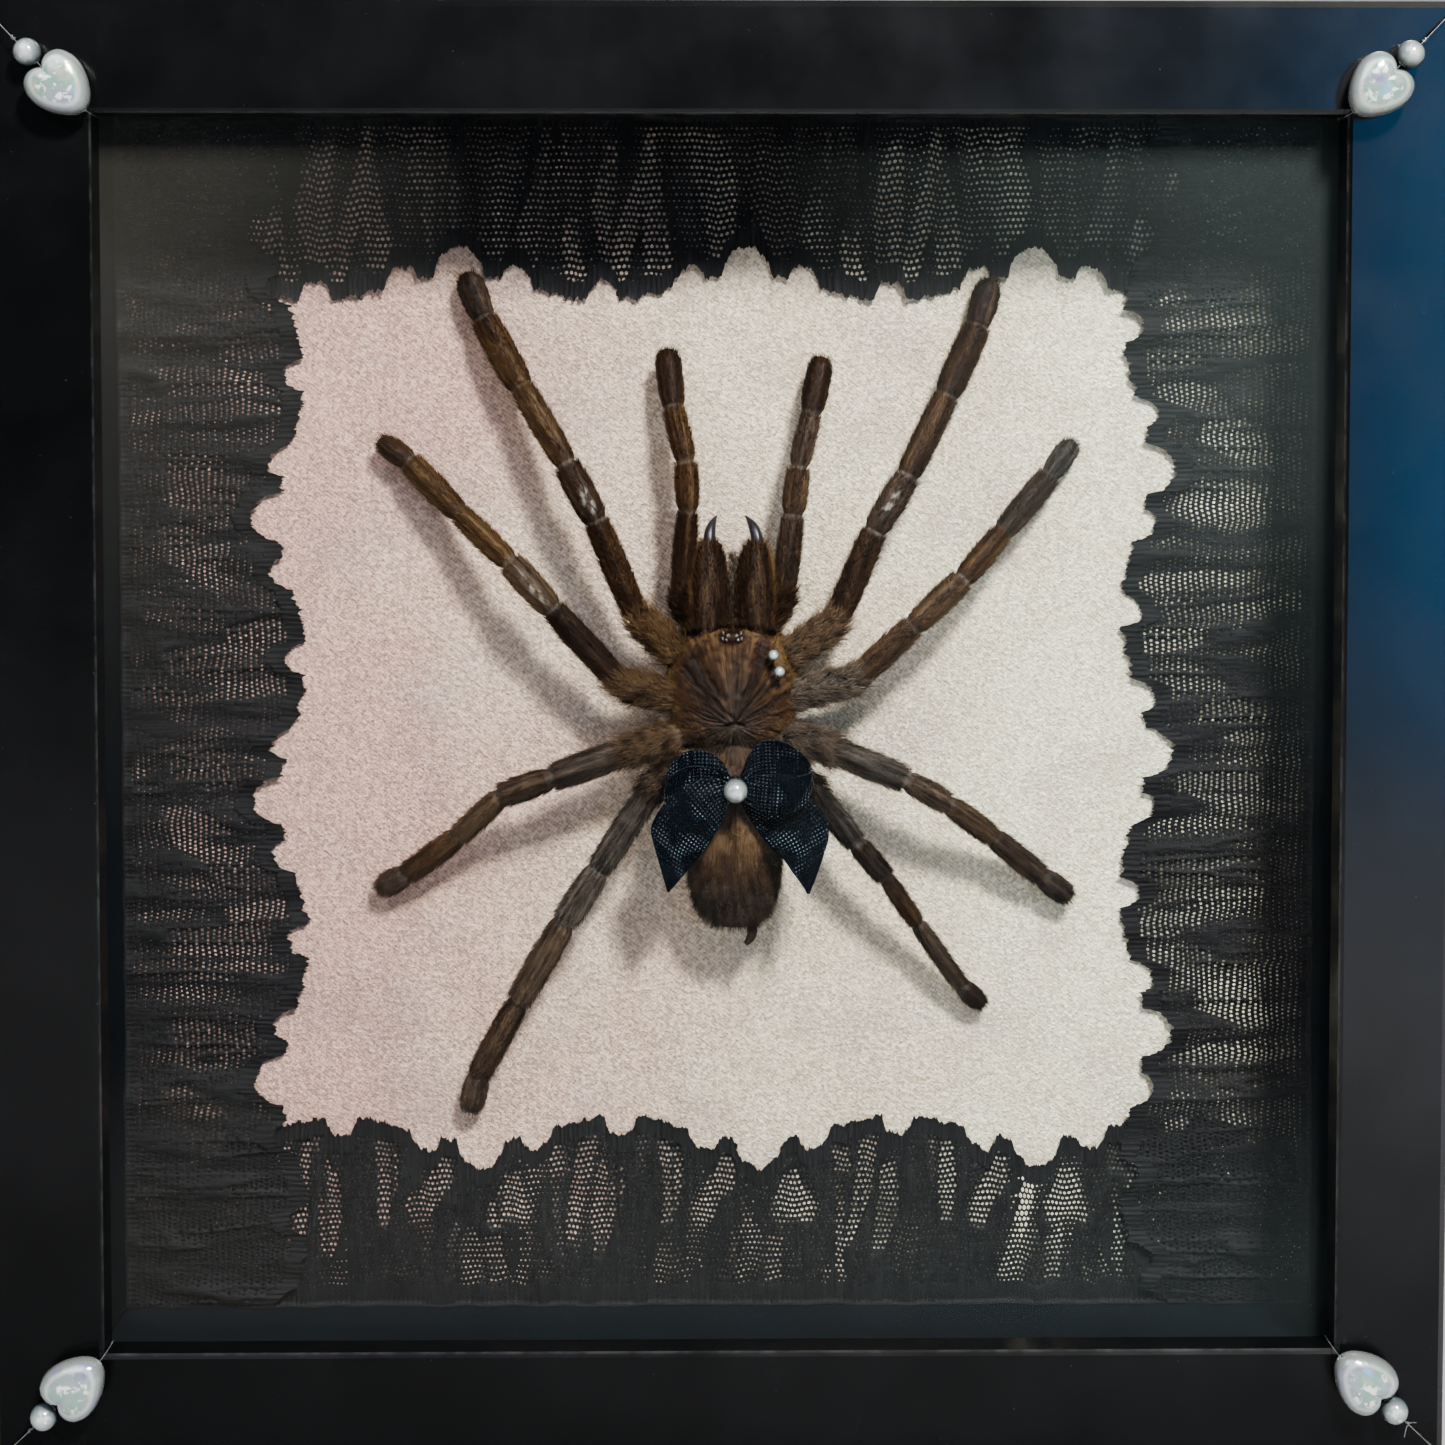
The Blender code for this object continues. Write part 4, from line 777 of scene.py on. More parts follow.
# %% Limb lines, widths and tones
# Each limb: joints from the body to the tip as (x, z, height); half widths of its segments; how
# golden and how grey each segment is; and bald patches as (segment, share along it, turn, length).
LIMBS = {
    "leg_1_left": (
        [(-4, 127, 8.5), (-14, 136, 10.2), (-20.7, 152.2, 12), (-25.6, 161.7, 11.5),
         (-33.4, 174.6, 7), (-40, 186.3, 4.2), (-42.8, 193.2, 3.1)],
        [2.3, 2.35, 2.5, 2.25, 2.6, 2.5], [1.0, 0.32, 0.3, 0.6, 0.45, 0.15],
        [0.1, 0.0, 0.1, 0.05, 0.0, 0.2], [(2, 0.35, 100, 0.3)]),
    "leg_2_left": (
        [(-4, 121.5, 8.5), (-16.8, 124.8, 10.2), (-28, 137.4, 12), (-35.2, 145.3, 11.5),
         (-44, 153.3, 7), (-52.6, 161.9, 4), (-57.4, 165.3, 2.8)],
        [2.3, 2.35, 2.45, 2.1, 2.25, 2.1], [1.0, 0.05, 0.6, 0.85, 0.65, 0.35],
        [0.2, 0.1, 0.2, 0.0, 0.0, 0.0], [(2, 0.5, 96, 0.42)]),
    "leg_3_left": (
        [(-4, 117, 8.5), (-15.9, 113.2, 10.2), (-28.2, 109.1, 12), (-36.9, 105.9, 11),
         (-44.4, 98.4, 7), (-53.5, 91.4, 4), (-58.2, 88.8, 2.9)],
        [2.4, 2.65, 2.3, 2.05, 2.15, 2.25], [1.0, 0.3, 0.45, 0.8, 0.65, 0.35],
        [0.3, 0.45, 0.2, 0.2, 0.0, 0.3], []),
    "leg_4_left": (
        [(-2, 114, 8.2), (-11.5, 107, 9.6), (-20.5, 93.5, 11.6), (-26.3, 84.5, 11.2),
         (-34.3, 70.2, 7.5), (-41.5, 56.6, 4.2), (-42.9, 50.6, 2.9)],
        [2.2, 2.35, 2.5, 2.45, 2.2, 2.3], [0.3, 0.24, 0.6, 0.68, 0.5, 0.55],
        [0.5, 0.8, 0.7, 0.3, 0.2, 0.3], []),
    "leg_1_right": (
        [(8.2, 127, 8.5), (19.6, 135.2, 10.2), (25.8, 150.5, 12), (31.4, 159.7, 11.5),
         (38.3, 173.1, 7), (43.9, 185, 4.2), (46, 192.2, 3.1)],
        [2.3, 2.4, 2.4, 2.3, 2.6, 2.5], [1.0, 0.28, 0.3, 0.35, 0.3, 0.2],
        [0.4, 0.05, 0.25, 0.05, 0.0, 0.15], [(2, 0.5, 84, 0.3)]),
    "leg_2_right": (
        [(8.2, 121.5, 8.5), (22.8, 125.4, 10.2), (32.4, 134.5, 12), (40.7, 142.3, 11.5),
         (47.9, 150, 7), (56.3, 159.6, 4), (60.2, 164.8, 2.8)],
        [2.3, 2.35, 2.3, 2.1, 2.25, 2.1], [1.0, 0.45, 0.65, 0.53, 0.28, 0.15],
        [1.0, 0.15, 0.15, 0.0, 0.3, 0.9], []),
    "leg_3_right": (
        [(8.2, 117, 8.5), (18.9, 113.5, 10.2), (31.3, 108.7, 12), (38.4, 104.5, 11),
         (46.5, 98.2, 7), (55.3, 90.8, 4), (60, 87.2, 2.8)],
        [2.4, 2.55, 2.1, 2, 2.1, 2.2], [1.0, 0.36, 0.6, 0.65, 0.43, 0.12],
        [0.9, 0.8, 0.35, 0.2, 0.3, 0.5], []),
    "leg_4_right": (
        [(6.5, 114, 8.2), (16, 106.5, 9.6), (22.9, 97.9, 11.4), (28, 92, 10.6),
         (33.5, 83.6, 7.4), (41.6, 71.8, 3.9), (45.2, 68.4, 2.5)],
        [2.1, 2.1, 1.95, 1.5, 1.5, 1.85], [0.05, 0.03, 0.05, 0.53, 0.6, 0.03],
        [0.8, 0.9, 0.4, 0.05, 0.4, 0.3], []),
    "palp_left": (
        [(-1, 130, 8.5), (-6.6, 139, 9.2), (-5.4, 153.7, 10), (-5.7, 162, 9.5),
         (-7.8, 171.2, 7), (-8.8, 179.9, 4.4)],
        [1.8, 1.95, 2.1, 1.95, 2.35], [0.0, 0.12, 0.48, 0.5, 0.08],
        [0.0, 0.0, 0.0, 0.0, 0.0], []),
    "palp_right": (
        [(5.2, 130, 8.5), (10.9, 139.5, 9.2), (12.3, 153.1, 10), (13.3, 161.1, 9.5),
         (15.5, 170.2, 7), (17.2, 178.6, 4.4)],
        [1.8, 2.1, 2.1, 1.85, 2.3], [0.05, 0.25, 0.5, 0.43, 0.0],
        [0.1, 0.25, 0.15, 0.3, 0.0], []),
}
SKIN_SHARE = 0.9
# What every piece of the animal passes on: it stands for the CAD's tarantula
ANIMAL = {"replaces": ["tarantula"], "slot": "specimen"}

# %% [markdown]
# ## Fur and cuticle
#
# Hair and skin use the same recipe.  A ramp turns "gold" into a colour from near black through
# dark brown to a dusty gold, "grey" drains that colour, and "pale" lifts it to the bare, chalky
# tone of a dried joint.  Streaks come from noise that is squeezed hard along the limb, so the skin
# between the needles already looks combed.


# %% Materials of the animal
def coat(name, lighter, streaks):
    """Brown to gold by "gold", drained by "grey", chalky by "pale"; streaks follow "run"."""
    made = Finish(name, Roughness=0.6, Specular_IOR_Level=0.10 if streaks else 0.03)
    gold = made.own("gold")
    if streaks:
        run = made.own("run", vector=True)
        combed = made.noise(made.stretched(run, (0.07, 1.0, 1.0)), 3400.0, 4.0, 0.6)
        patch = made.noise(made.stretched(run, (0.5, 1.0, 1.0)), 900.0, 3.0)
        gold = made.sums("ADD", gold, made.spread(combed, 0.3, 0.7, -0.32, 0.34))
        gold = made.sums("ADD", gold, made.spread(patch, 0.3, 0.7, -0.14, 0.14))
    brown = made.ramp(gold, *[(at, tuple(lighter * c for c in tone)) for at, tone in (
        (0.0, (0.0060, 0.0022, 0.0009)), (0.3, (0.0175, 0.0072, 0.0026)),
        (0.62, (0.033, 0.0142, 0.0050)), (1.0, (0.086, 0.046, 0.0165)))])
    ash = made.blend(gold, tuple(lighter * c for c in (0.0075, 0.0060, 0.0046)),
                     tuple(lighter * c for c in (0.105, 0.086, 0.068)))
    colour = made.blend(made.own("grey"), brown, ash)
    colour = made.blend(made.own("pale"), colour, (0.24, 0.215, 0.175))
    if streaks:
        made.set(Normal=made.bump(combed, 0.5, 0.0002))
    return made.set(Base_Color=colour)


CUTICLE = coat("brown_cuticle_skin", 0.85, True)
FUR = coat("brown_fur", 1.15, False)


# %% [markdown]
# ## A needle for each hair
#
# A single hair is a needle with three sides: three points round the root, a tip, and a small face
# that closes the root inside the skin.  Bent hairs get a second ring halfway, which is moved
# aside.  All needles of a piece are computed at once, as arrays with one row to a hair, and become
# one mesh.


# %% Hairs from arrays
def hairs(name, roots, towards, length, radius, looks, droop=None):
    """Three-sided needles.  roots and towards are (n, 3), length and radius (n,) in millimetres;
    looks has one gold, grey and pale to a hair, and droop, (n, 3), moves a bent hair's tip."""
    count = len(roots)
    length, radius = length[:, None] * MM, radius[:, None] * MM
    side = unit(np.cross(towards, np.array((0.31, 0.74, 0.59))))
    other = np.cross(towards, side)
    ring = [side, -0.5 * side + 0.866 * other, -0.5 * side - 0.866 * other]
    if droop is None:
        points = np.stack([roots + radius * r for r in ring] + [roots + length * towards], 1)
        pattern = [(0, 2, 1), (0, 1, 3), (1, 2, 3), (2, 0, 3)]
        quads = []
    else:
        middle = roots + 0.5 * length * towards + 0.25 * length * droop
        tip = roots + length * towards + length * droop
        points = np.stack([roots + radius * r for r in ring]
                          + [middle + 0.7 * radius * r for r in ring] + [tip], 1)
        pattern = [(0, 2, 1), (3, 4, 6), (4, 5, 6), (5, 3, 6)]
        quads = [(0, 1, 4, 3), (1, 2, 5, 4), (2, 0, 3, 5)]
    each = points.shape[1]
    first = (np.arange(count) * each)[:, None, None]
    faces = [(first + np.array(pattern)).reshape(-1, 3)]
    if quads:
        faces.append((first + np.array(quads)).reshape(-1, 4))
    marks = {key: np.repeat(value, each) for key, value in looks.items()}
    print(name, "hairs:", count)
    piece(name, points.reshape(-1, 3), faces, FUR, marks, **ANIMAL)


def comb(name, coats):
    """The hairs of several limbs, each (roots, towards, length, radius, looks), as one piece."""
    numbers = [np.concatenate([one[i] for one in coats]) for i in range(4)]
    looks = {key: np.concatenate([one[4][key] for one in coats]) for key in coats[0][4]}
    hairs(name, *numbers, looks)


def join(parts):
    """Several (points, faces, attributes) as one, with the point numbers moved along."""
    starts = np.cumsum([0] + [len(p[0]) for p in parts])
    faces = [f + start for part, start in zip(parts, starts) for f in part[1]]
    marks = {key: np.concatenate([p[2][key] for p in parts]) for key in parts[0][2]}
    return np.concatenate([p[0] for p in parts]), faces, marks


def outward(points, faces):
    """The faces of a closed shell, turned round if they point inwards.  The test is the volume they
    enclose, a sum of triple products, which is negative when they point in."""
    middle, volume = points.mean(0), 0.0
    for flat in faces:
        corner = points[flat] - middle
        for k in range(1, flat.shape[1] - 1):
            volume += np.sum(corner[:, 0] * np.cross(corner[:, k], corner[:, k + 1]))
    return faces if volume > 0 else [flat[:, ::-1] for flat in faces]


def closed_tube(grid, marks):
    """Points, faces and attributes of a grid of rings, with a fan over each end."""
    rows, columns = grid.shape[:2]
    ends = grid[[0, -1]].mean(1)
    points = np.concatenate([grid.reshape(-1, 3), ends])
    k = np.arange(columns)
    near = np.stack([np.full(columns, rows * columns), k, (k + 1) % columns], -1)
    last = (rows - 1) * columns
    far = np.stack([np.full(columns, rows * columns + 1), last + (k + 1) % columns, last + k], -1)
    quads = grid_faces(rows, columns, wrap_columns=True)[:, ::-1]
    full = {}
    for key, value in marks.items():
        value = np.broadcast_to(value, grid.shape[:2] + value.shape[2:])
        full[key] = np.concatenate([value.reshape(-1, *value.shape[2:]), value[[0, -1], 0]])
    return points, outward(points, [quads, near, far]), full


# %% [markdown]
# ## One limb
#
# The limb's line goes through its joints and is eased round each bend with a short moving average.
# Round it runs a circle whose radius swells in the middle of each segment and is pinched at the
# joint.  The same rule answers for any place along and round the limb, so the hairs use it too.

# %% The shape of a limb
EASE, FINE_STEP, RING_STEP, LIMB_SIDES = 1.1, 0.2, 0.4, 28
PAST_TIP = 0.16    # the line goes on past the last joint by this share of the last segment
TIP_ROUND = 3.4    # length of the rounded tip in mm


class Limb:
    """A limb's line and radius, for any distance along it and any turn round it."""

    def __init__(self, joints, widths, gold, grey, bald, seed):
        joints = np.array(joints, float)
        spine = inside(*joints.T) / MM
        lengths = np.linalg.norm(np.diff(spine, axis=0), axis=1)
        spine = np.concatenate([spine, spine[-1:] + (spine[-1:] - spine[-2:-1]) * PAST_TIP])
        self.knots = np.concatenate([[0], np.cumsum(lengths)])
        self.length = self.knots[-1] + lengths[-1] * PAST_TIP
        fine = np.arange(-6, self.length + 6, FINE_STEP)
        places = np.concatenate([self.knots, [self.length]])
        line = np.stack([np.interp(fine, places, spine[:, k]) for k in range(3)], -1)
        line[fine < 0] = spine[0] + fine[fine < 0, None] * unit(spine[1] - spine[0])
        beyond = fine > self.length
        line[beyond] = spine[-1] + (fine[beyond, None] - self.length) * unit(spine[-1] - spine[-2])
        pad = round(3 * EASE / FINE_STEP)
        kernel = bell(np.arange(-pad, pad + 1) * FINE_STEP, 0, EASE)
        kernel /= kernel.sum()
        self.fine = fine[pad:-pad]
        self.line = np.stack([np.convolve(line[:, k], kernel, "valid") for k in range(3)], -1)
        self.ahead = unit(np.gradient(self.line, axis=0))
        self.widths, self.gold, self.grey = map(np.array, (widths, gold, grey))
        self.bald, self.seed = bald, seed

    def at(self, s):
        """The line, its direction, and the two directions across it: sideways and to the viewer."""
        line = np.stack([np.interp(s, self.fine, self.line[:, k]) for k in range(3)], -1)
        ahead = unit(np.stack([np.interp(s, self.fine, self.ahead[:, k]) for k in range(3)], -1))
        side = unit(np.cross(ahead, (0.0, 1.0, 0.0)))
        return line, ahead, side, -np.cross(side, ahead)

    def segment(self, s):
        """Which segment a distance is in, how far along it, and how far the nearest joint is."""
        k = np.clip(np.searchsorted(self.knots, s, side="right") - 1, 0, len(self.widths) - 1)
        t = (s - self.knots[k]) / (self.knots[k + 1] - self.knots[k])
        near = np.min(np.abs(np.asarray(s)[..., None] - self.knots[1:-1]), -1)
        return k, t, near

    def stripes(self, k, t, turn):
        """The two bare stripes that a knee and a shin carry on top, as a share from 0 to 1."""
        off = np.abs(np.abs(np.degrees(turn) - 90.0) - 30.0)
        along = smoothstep(0.08, 0.2, t) * (1 - smoothstep(0.8, 0.92, t))
        return np.where((k == 2) | (k == 3), along, 0) * (1 - smoothstep(4, 9, off))

    def radius(self, s, turn):
        """Segment width times a swell, pinched at joints, rounded at the tip, with fine ridges."""
        k, t, near = self.segment(s)
        swell = 0.83 + 0.17 * np.sin(np.pi * np.clip(t, 0.02, 0.98)) ** 0.6
        last = k == len(self.widths) - 1
        swell = np.where(last, 0.84 + 0.18 * np.sin(np.pi * np.clip(t, 0, 0.62) / 1.1), swell)
        swell = swell - 0.15 * bell(near, 0, 0.34)
        swell = swell + np.where(k == 0, 0.14 + 0.10 * np.sin(1.9 * s), 0) * (t > 0.02)
        tip = np.clip((s - self.length + TIP_ROUND) / TIP_ROUND, 0, 1)
        swell = swell * np.sqrt(np.maximum(1 - tip ** 2.1, 0.004))
        ridge = 0.020 * ripple(self.seed, s * 0.5, *circle(4, turn), waves=9)
        lump = 0.022 * ripple(self.seed + 1, s * 1.3, *circle(1, turn), waves=5)
        groove = 0.05 * self.stripes(k, t, turn)
        return self.widths[k] * SKIN_SHARE * (swell + ridge + lump - groove)

    def point(self, s, turn, lift=0.0):
        """The skin's place in metres, and the outward direction there."""
        line, _, side, up = self.at(s)
        out = np.cos(turn)[..., None] * side + np.sin(turn)[..., None] * up
        return (line + out * (self.radius(s, turn) + lift)[..., None]) * MM, out

    def looks(self, s, turn):
        """Gold, grey and pale at a place: segment tones, with stripes, joints and bald patches."""
        k, t, near = self.segment(s)
        ends = smoothstep(0.0, 0.18, t) * (1 - smoothstep(0.86, 1.0, t) * 0.5)
        gold = self.gold[k] * (0.62 + 0.38 * ends)
        gold = gold + 0.10 * ripple(self.seed + 2, s * 0.7, *circle(2, turn))
        gold = gold + 0.24 * ripple(self.seed + 5, s * 0.12, *circle(6, turn),
                                    waves=14)
        curls = ripple(self.seed + 6, s * 1.6, *circle(4, turn), waves=9)
        gold = gold + np.where(k == 0, 0.45 * curls - 0.25, 0.0)
        bare = self.stripes(k, t, turn)
        gold = gold + 0.12 * bare
        pale = 0.36 * bell(near, 0, 0.22) * (0.6 + 0.4 * ripple(self.seed + 3, 0.25 * s, 3 * turn))
        for at, share, degrees, long in self.bald:
            shape = ((t - share) / long) ** 2 + ((np.degrees(turn) - degrees) / 26.0) ** 2
            flakes = smoothstep(0.1, 0.5, ripple(self.seed + 4, s * 1.1, 9 * turn, waves=10))
            pale = np.maximum(pale, np.where(k == at, 1 - smoothstep(0.4, 1.0, shape), 0)
                              * (0.06 + 0.8 * flakes))
        return {"gold": np.clip(gold, 0, 1), "grey": self.grey[k] * np.ones_like(gold),
                "pale": np.clip(pale, 0, 1)}

    def skin(self):
        """The limb's closed skin as rings along its line."""
        s = np.arange(0, self.length, RING_STEP)
        tip = self.length - TIP_ROUND * (1 - np.sin(np.linspace(0.2, 1, 14) * np.pi / 2))
        s = np.concatenate([s[s < tip[0]], tip])[:, None]
        turn = (np.arange(LIMB_SIDES) / LIMB_SIDES * 2 * np.pi)[None, :]
        s, turn = np.broadcast_arrays(s, turn)
        grid, _ = self.point(s, turn)
        marks = self.looks(s, turn)
        marks["run"] = np.stack([s, *circle(self.radius(s, turn), turn)], -1) * MM
        return closed_tube(grid, marks)

    def fur(self, count, draw):
        """Roots, directions, lengths, radii and looks of hairs that lie towards the tip."""
        s = draw.uniform(1.0, self.length - 0.3, count)
        turn = np.radians(draw.uniform(-30, 210, count))
        k, t, _ = self.segment(s)
        bare = np.maximum(self.stripes(k, t, turn), self.looks(s, turn)["pale"])
        keep = draw.uniform(size=count) > 0.85 * bare
        s, turn, k, t = s[keep], turn[keep], k[keep], t[keep]
        n = len(s)
        roots, out = self.point(s, turn, -0.06)
        ahead = self.at(s)[1]
        across = np.cross(ahead, out)
        lift = np.radians(draw.uniform(7, 30, n))[:, None]
        sway = draw.normal(0, 0.16, n)[:, None]
        towards = unit(np.cos(lift) * ahead + np.sin(lift) * out + sway * across)
        last = k == len(self.widths) - 1
        length = draw.uniform(0.9, 2.1, n) * np.where(last, 0.65, 1.0)
        length = np.minimum(length, np.where(last, 9.0, self.knots[k + 1] - s + 0.5))
        looks = self.looks(s, turn)
        shade = draw.normal(0, 0.12, n)
        looks["gold"] = np.clip(looks["gold"] + shade + 0.06, 0, 1)
        looks["pale"] = looks["pale"] * 0.5
        return roots, towards, length, draw.uniform(0.028, 0.048, n), looks


# %% [markdown]
# ## Legs and palps
#
# The limbs of one side become one skin and one fur.  The number of hairs on a limb follows its
# length, so the coat is equally thick everywhere, and the draw is seeded, so that every run of the
# script gives the same animal.

# %% Grow the limbs
HAIRS_ON_A_SIDE, HAIRS_ON_PALPS = 44000, 17000


def limb_group(name, members, total, seed):
    """Skins of several limbs as one piece, and their fur as another."""
    limbs = [Limb(*LIMBS[m], seed=seed + 10 * k) for k, m in enumerate(members)]
    points, faces, marks = join([one.skin() for one in limbs])
    piece(name, points, faces, CUTICLE, marks, **ANIMAL)
    draw = np.random.default_rng(seed)
    reach = sum(one.length for one in limbs)
    coats = [one.fur(int(total * one.length / reach), draw) for one in limbs]
    comb(name + "_fur", coats)


limb_group("legs_left", [f"leg_{k}_left" for k in (1, 2, 3, 4)], HAIRS_ON_A_SIDE, 11)
limb_group("legs_right", [f"leg_{k}_right" for k in (1, 2, 3, 4)], HAIRS_ON_A_SIDE, 71)
limb_group("palps", ["palp_left", "palp_right"], HAIRS_ON_PALPS, 131)

# %% [markdown]
# ## The carapace
#
# The carapace is one shield of hard skin.  A pit near its back, the fovea, is where the stomach
# muscles hold on inside, and shallow furrows run out from it to each leg.  In front of it a raised
# "head" is set off by two dark curved furrows and carries eight eyes on a small mound.  So it is
# built on polar coordinates round the fovea: each furrow is then a simple function of the angle.

# %% Shared shape of the trunk
BODY_X = 2.1
CARAPACE = np.array([
    (114.3, 6.4, 11.6, 6.0), (115.3, 8.8, 12.6, 5.0), (117.4, 10.6, 13.3, 4.2),
    (123.0, 11.5, 14.2, 3.6), (127.6, 11.4, 14.4, 3.8), (131.4, 9.9, 14.2, 4.6),
    (133.6, 8.3, 13.8, 5.4), (134.9, 6.2, 12.8, 7.0)])
FOVEA = (2.3, 117.9)


def eased(stations, z, sigma=0.5):
    """Station columns at z, between stations in straight lines and then eased by averaging."""
    taps = np.linspace(-1.5, 1.5, 7) * sigma
    weight = bell(taps, 0, sigma)
    rows = stations[np.argsort(stations[:, 0])]
    return [sum(w * np.interp(z + tap, rows[:, 0], rows[:, k]) for w, tap in zip(weight, taps))
            / weight.sum() for k in range(1, rows.shape[1])]


def to_line(x, z, start, end):
    """Distance from points to a straight stroke."""
    start, end = np.array(start, float), np.array(end, float)
    run = end - start
    share = np.clip(((x - start[0]) * run[0] + (z - start[1]) * run[1]) / (run @ run), 0, 1)
    return np.hypot(x - start[0] - share * run[0], z - start[1] - share * run[1])


# %% Carapace: outline, height and markings
SHIELD_TURNS, SHIELD_RINGS = 260, 84


def shield_outline(turn):
    """The rim's distance from the fovea, for turns measured from straight ahead to the right."""
    z = np.linspace(*CARAPACE[[0, -1], 0], 200)
    half = eased(CARAPACE, z)[0] * 0.965
    x = np.concatenate([BODY_X + half, BODY_X - half[::-1]]) - FOVEA[0]
    up = np.concatenate([z, z[::-1]]) - FOVEA[1]
    angle, reach = np.arctan2(x, up), np.hypot(x, up)
    order = np.argsort(angle)
    return np.interp(turn, angle[order], reach[order], period=2 * np.pi)


def eye_mound(u, v):
    """The small hill under the eyes, in millimetres."""
    return 0.75 * np.exp(-((u + 0.3) / 1.9) ** 2 - ((v - 15.1) / 1.0) ** 2)


def shield_height(x, z):
    """A dome that is full along the middle and falls off towards its sides, in millimetres."""
    half, top, under = eased(CARAPACE, z)
    middle = (top + under) / 2
    out = np.clip(np.abs(x - BODY_X) / np.maximum(half, 0.1), 0, 0.999)
    return middle + (top - middle) * (1 - out ** 2.3) ** (1 / 2.3), middle


# Dark strokes in the head's furrows: start, end, half width, depth, in mm from the fovea
STROKES = [((-2.0, 5.0), (-6.5, 11.2), 0.62, 0.42), ((-4.8, 4.8), (-7.8, 9.6), 0.42, 0.3),
           ((2.0, 5.2), (3.9, 11.6), 0.42, 0.36), ((3.9, 5.4), (6.6, 9.6), 0.36, 0.28),
           ((0.3, 0.6), (-3.4, 4.6), 0.34, 0.3), ((0.2, 0.6), (3.0, 4.8), 0.3, 0.26),
           ((-1.4, 0.0), (1.4, 0.1), 0.42, 0.75), ((-3.9, 5.6), (-5.4, 8.6), 0.22, 0.16),
           ((5.0, 12.8), (3.6, 13.6), 0.3, 0.1), ((-6.7, 15.3), (-5.0, 15.6), 0.22, 0.12),
           ((3.6, 15.2), (5.2, 15.4), 0.22, 0.12)]
SPOTS = [(-5.5, 12.2, 0.75), (-4.7, 14.0, 0.45), (4.0, 12.9, 0.7), (4.6, 14.0, 0.4),
         (-6.3, 13.0, 0.35)]
draw = np.random.default_rng(7)
STRIAE = [(angle + draw.normal(0, 1.5), draw.uniform(0.9, 2.2), draw.uniform(0.08, 0.2),
           draw.uniform(0.5, 0.95)) for angle in (*range(38, 180, 6), *range(-176, -36, 6))]


def shield_marks(x, z, turn, ring):
    """Depth in mm and how dark: strokes by distance, spots by radius, striae by angle."""
    u, v = x - FOVEA[0], z - FOVEA[1]
    wander_u = u + 0.22 * ripple(41, 0.7 * u, 0.7 * v)
    wander_v = v + 0.22 * ripple(42, 0.7 * u, 0.7 * v)
    depth, dark = np.zeros_like(u), np.zeros_like(u)
    for start, end, width, deep in STROKES:
        far = to_line(wander_u, wander_v, start, end)
        depth = depth + deep * bell(far, 0, width)
        dark = np.maximum(dark, 0.95 * (1 - smoothstep(width * 0.5, width * 1.9, far)))
    for cx, cz, radius in SPOTS:
        far = np.hypot(wander_u - cx, wander_v - cz)
        dark = np.maximum(dark, 0.9 * (1 - smoothstep(radius * 0.6, radius * 1.5, far)))
        depth = depth + 0.12 * bell(far, 0, radius)
    dark = dark * np.clip(0.62 + 0.42 * ripple(47, 3.2 * u, 3.2 * v, waves=10), 0, 1)
    degrees = np.degrees(turn) + 2.2 * ripple(43, 5 * ring, 3 * turn)
    for angle, width, deep, reach in STRIAE:
        off = (degrees - angle + 180) % 360 - 180
        window = smoothstep(0.06, 0.18, ring) * (1 - smoothstep(reach - 0.15, reach, ring))
        line = bell(off, 0, width / (0.35 + ring)) * window
        depth = depth + deep * line
        dark = np.maximum(dark, 0.62 * line)
    return depth, dark


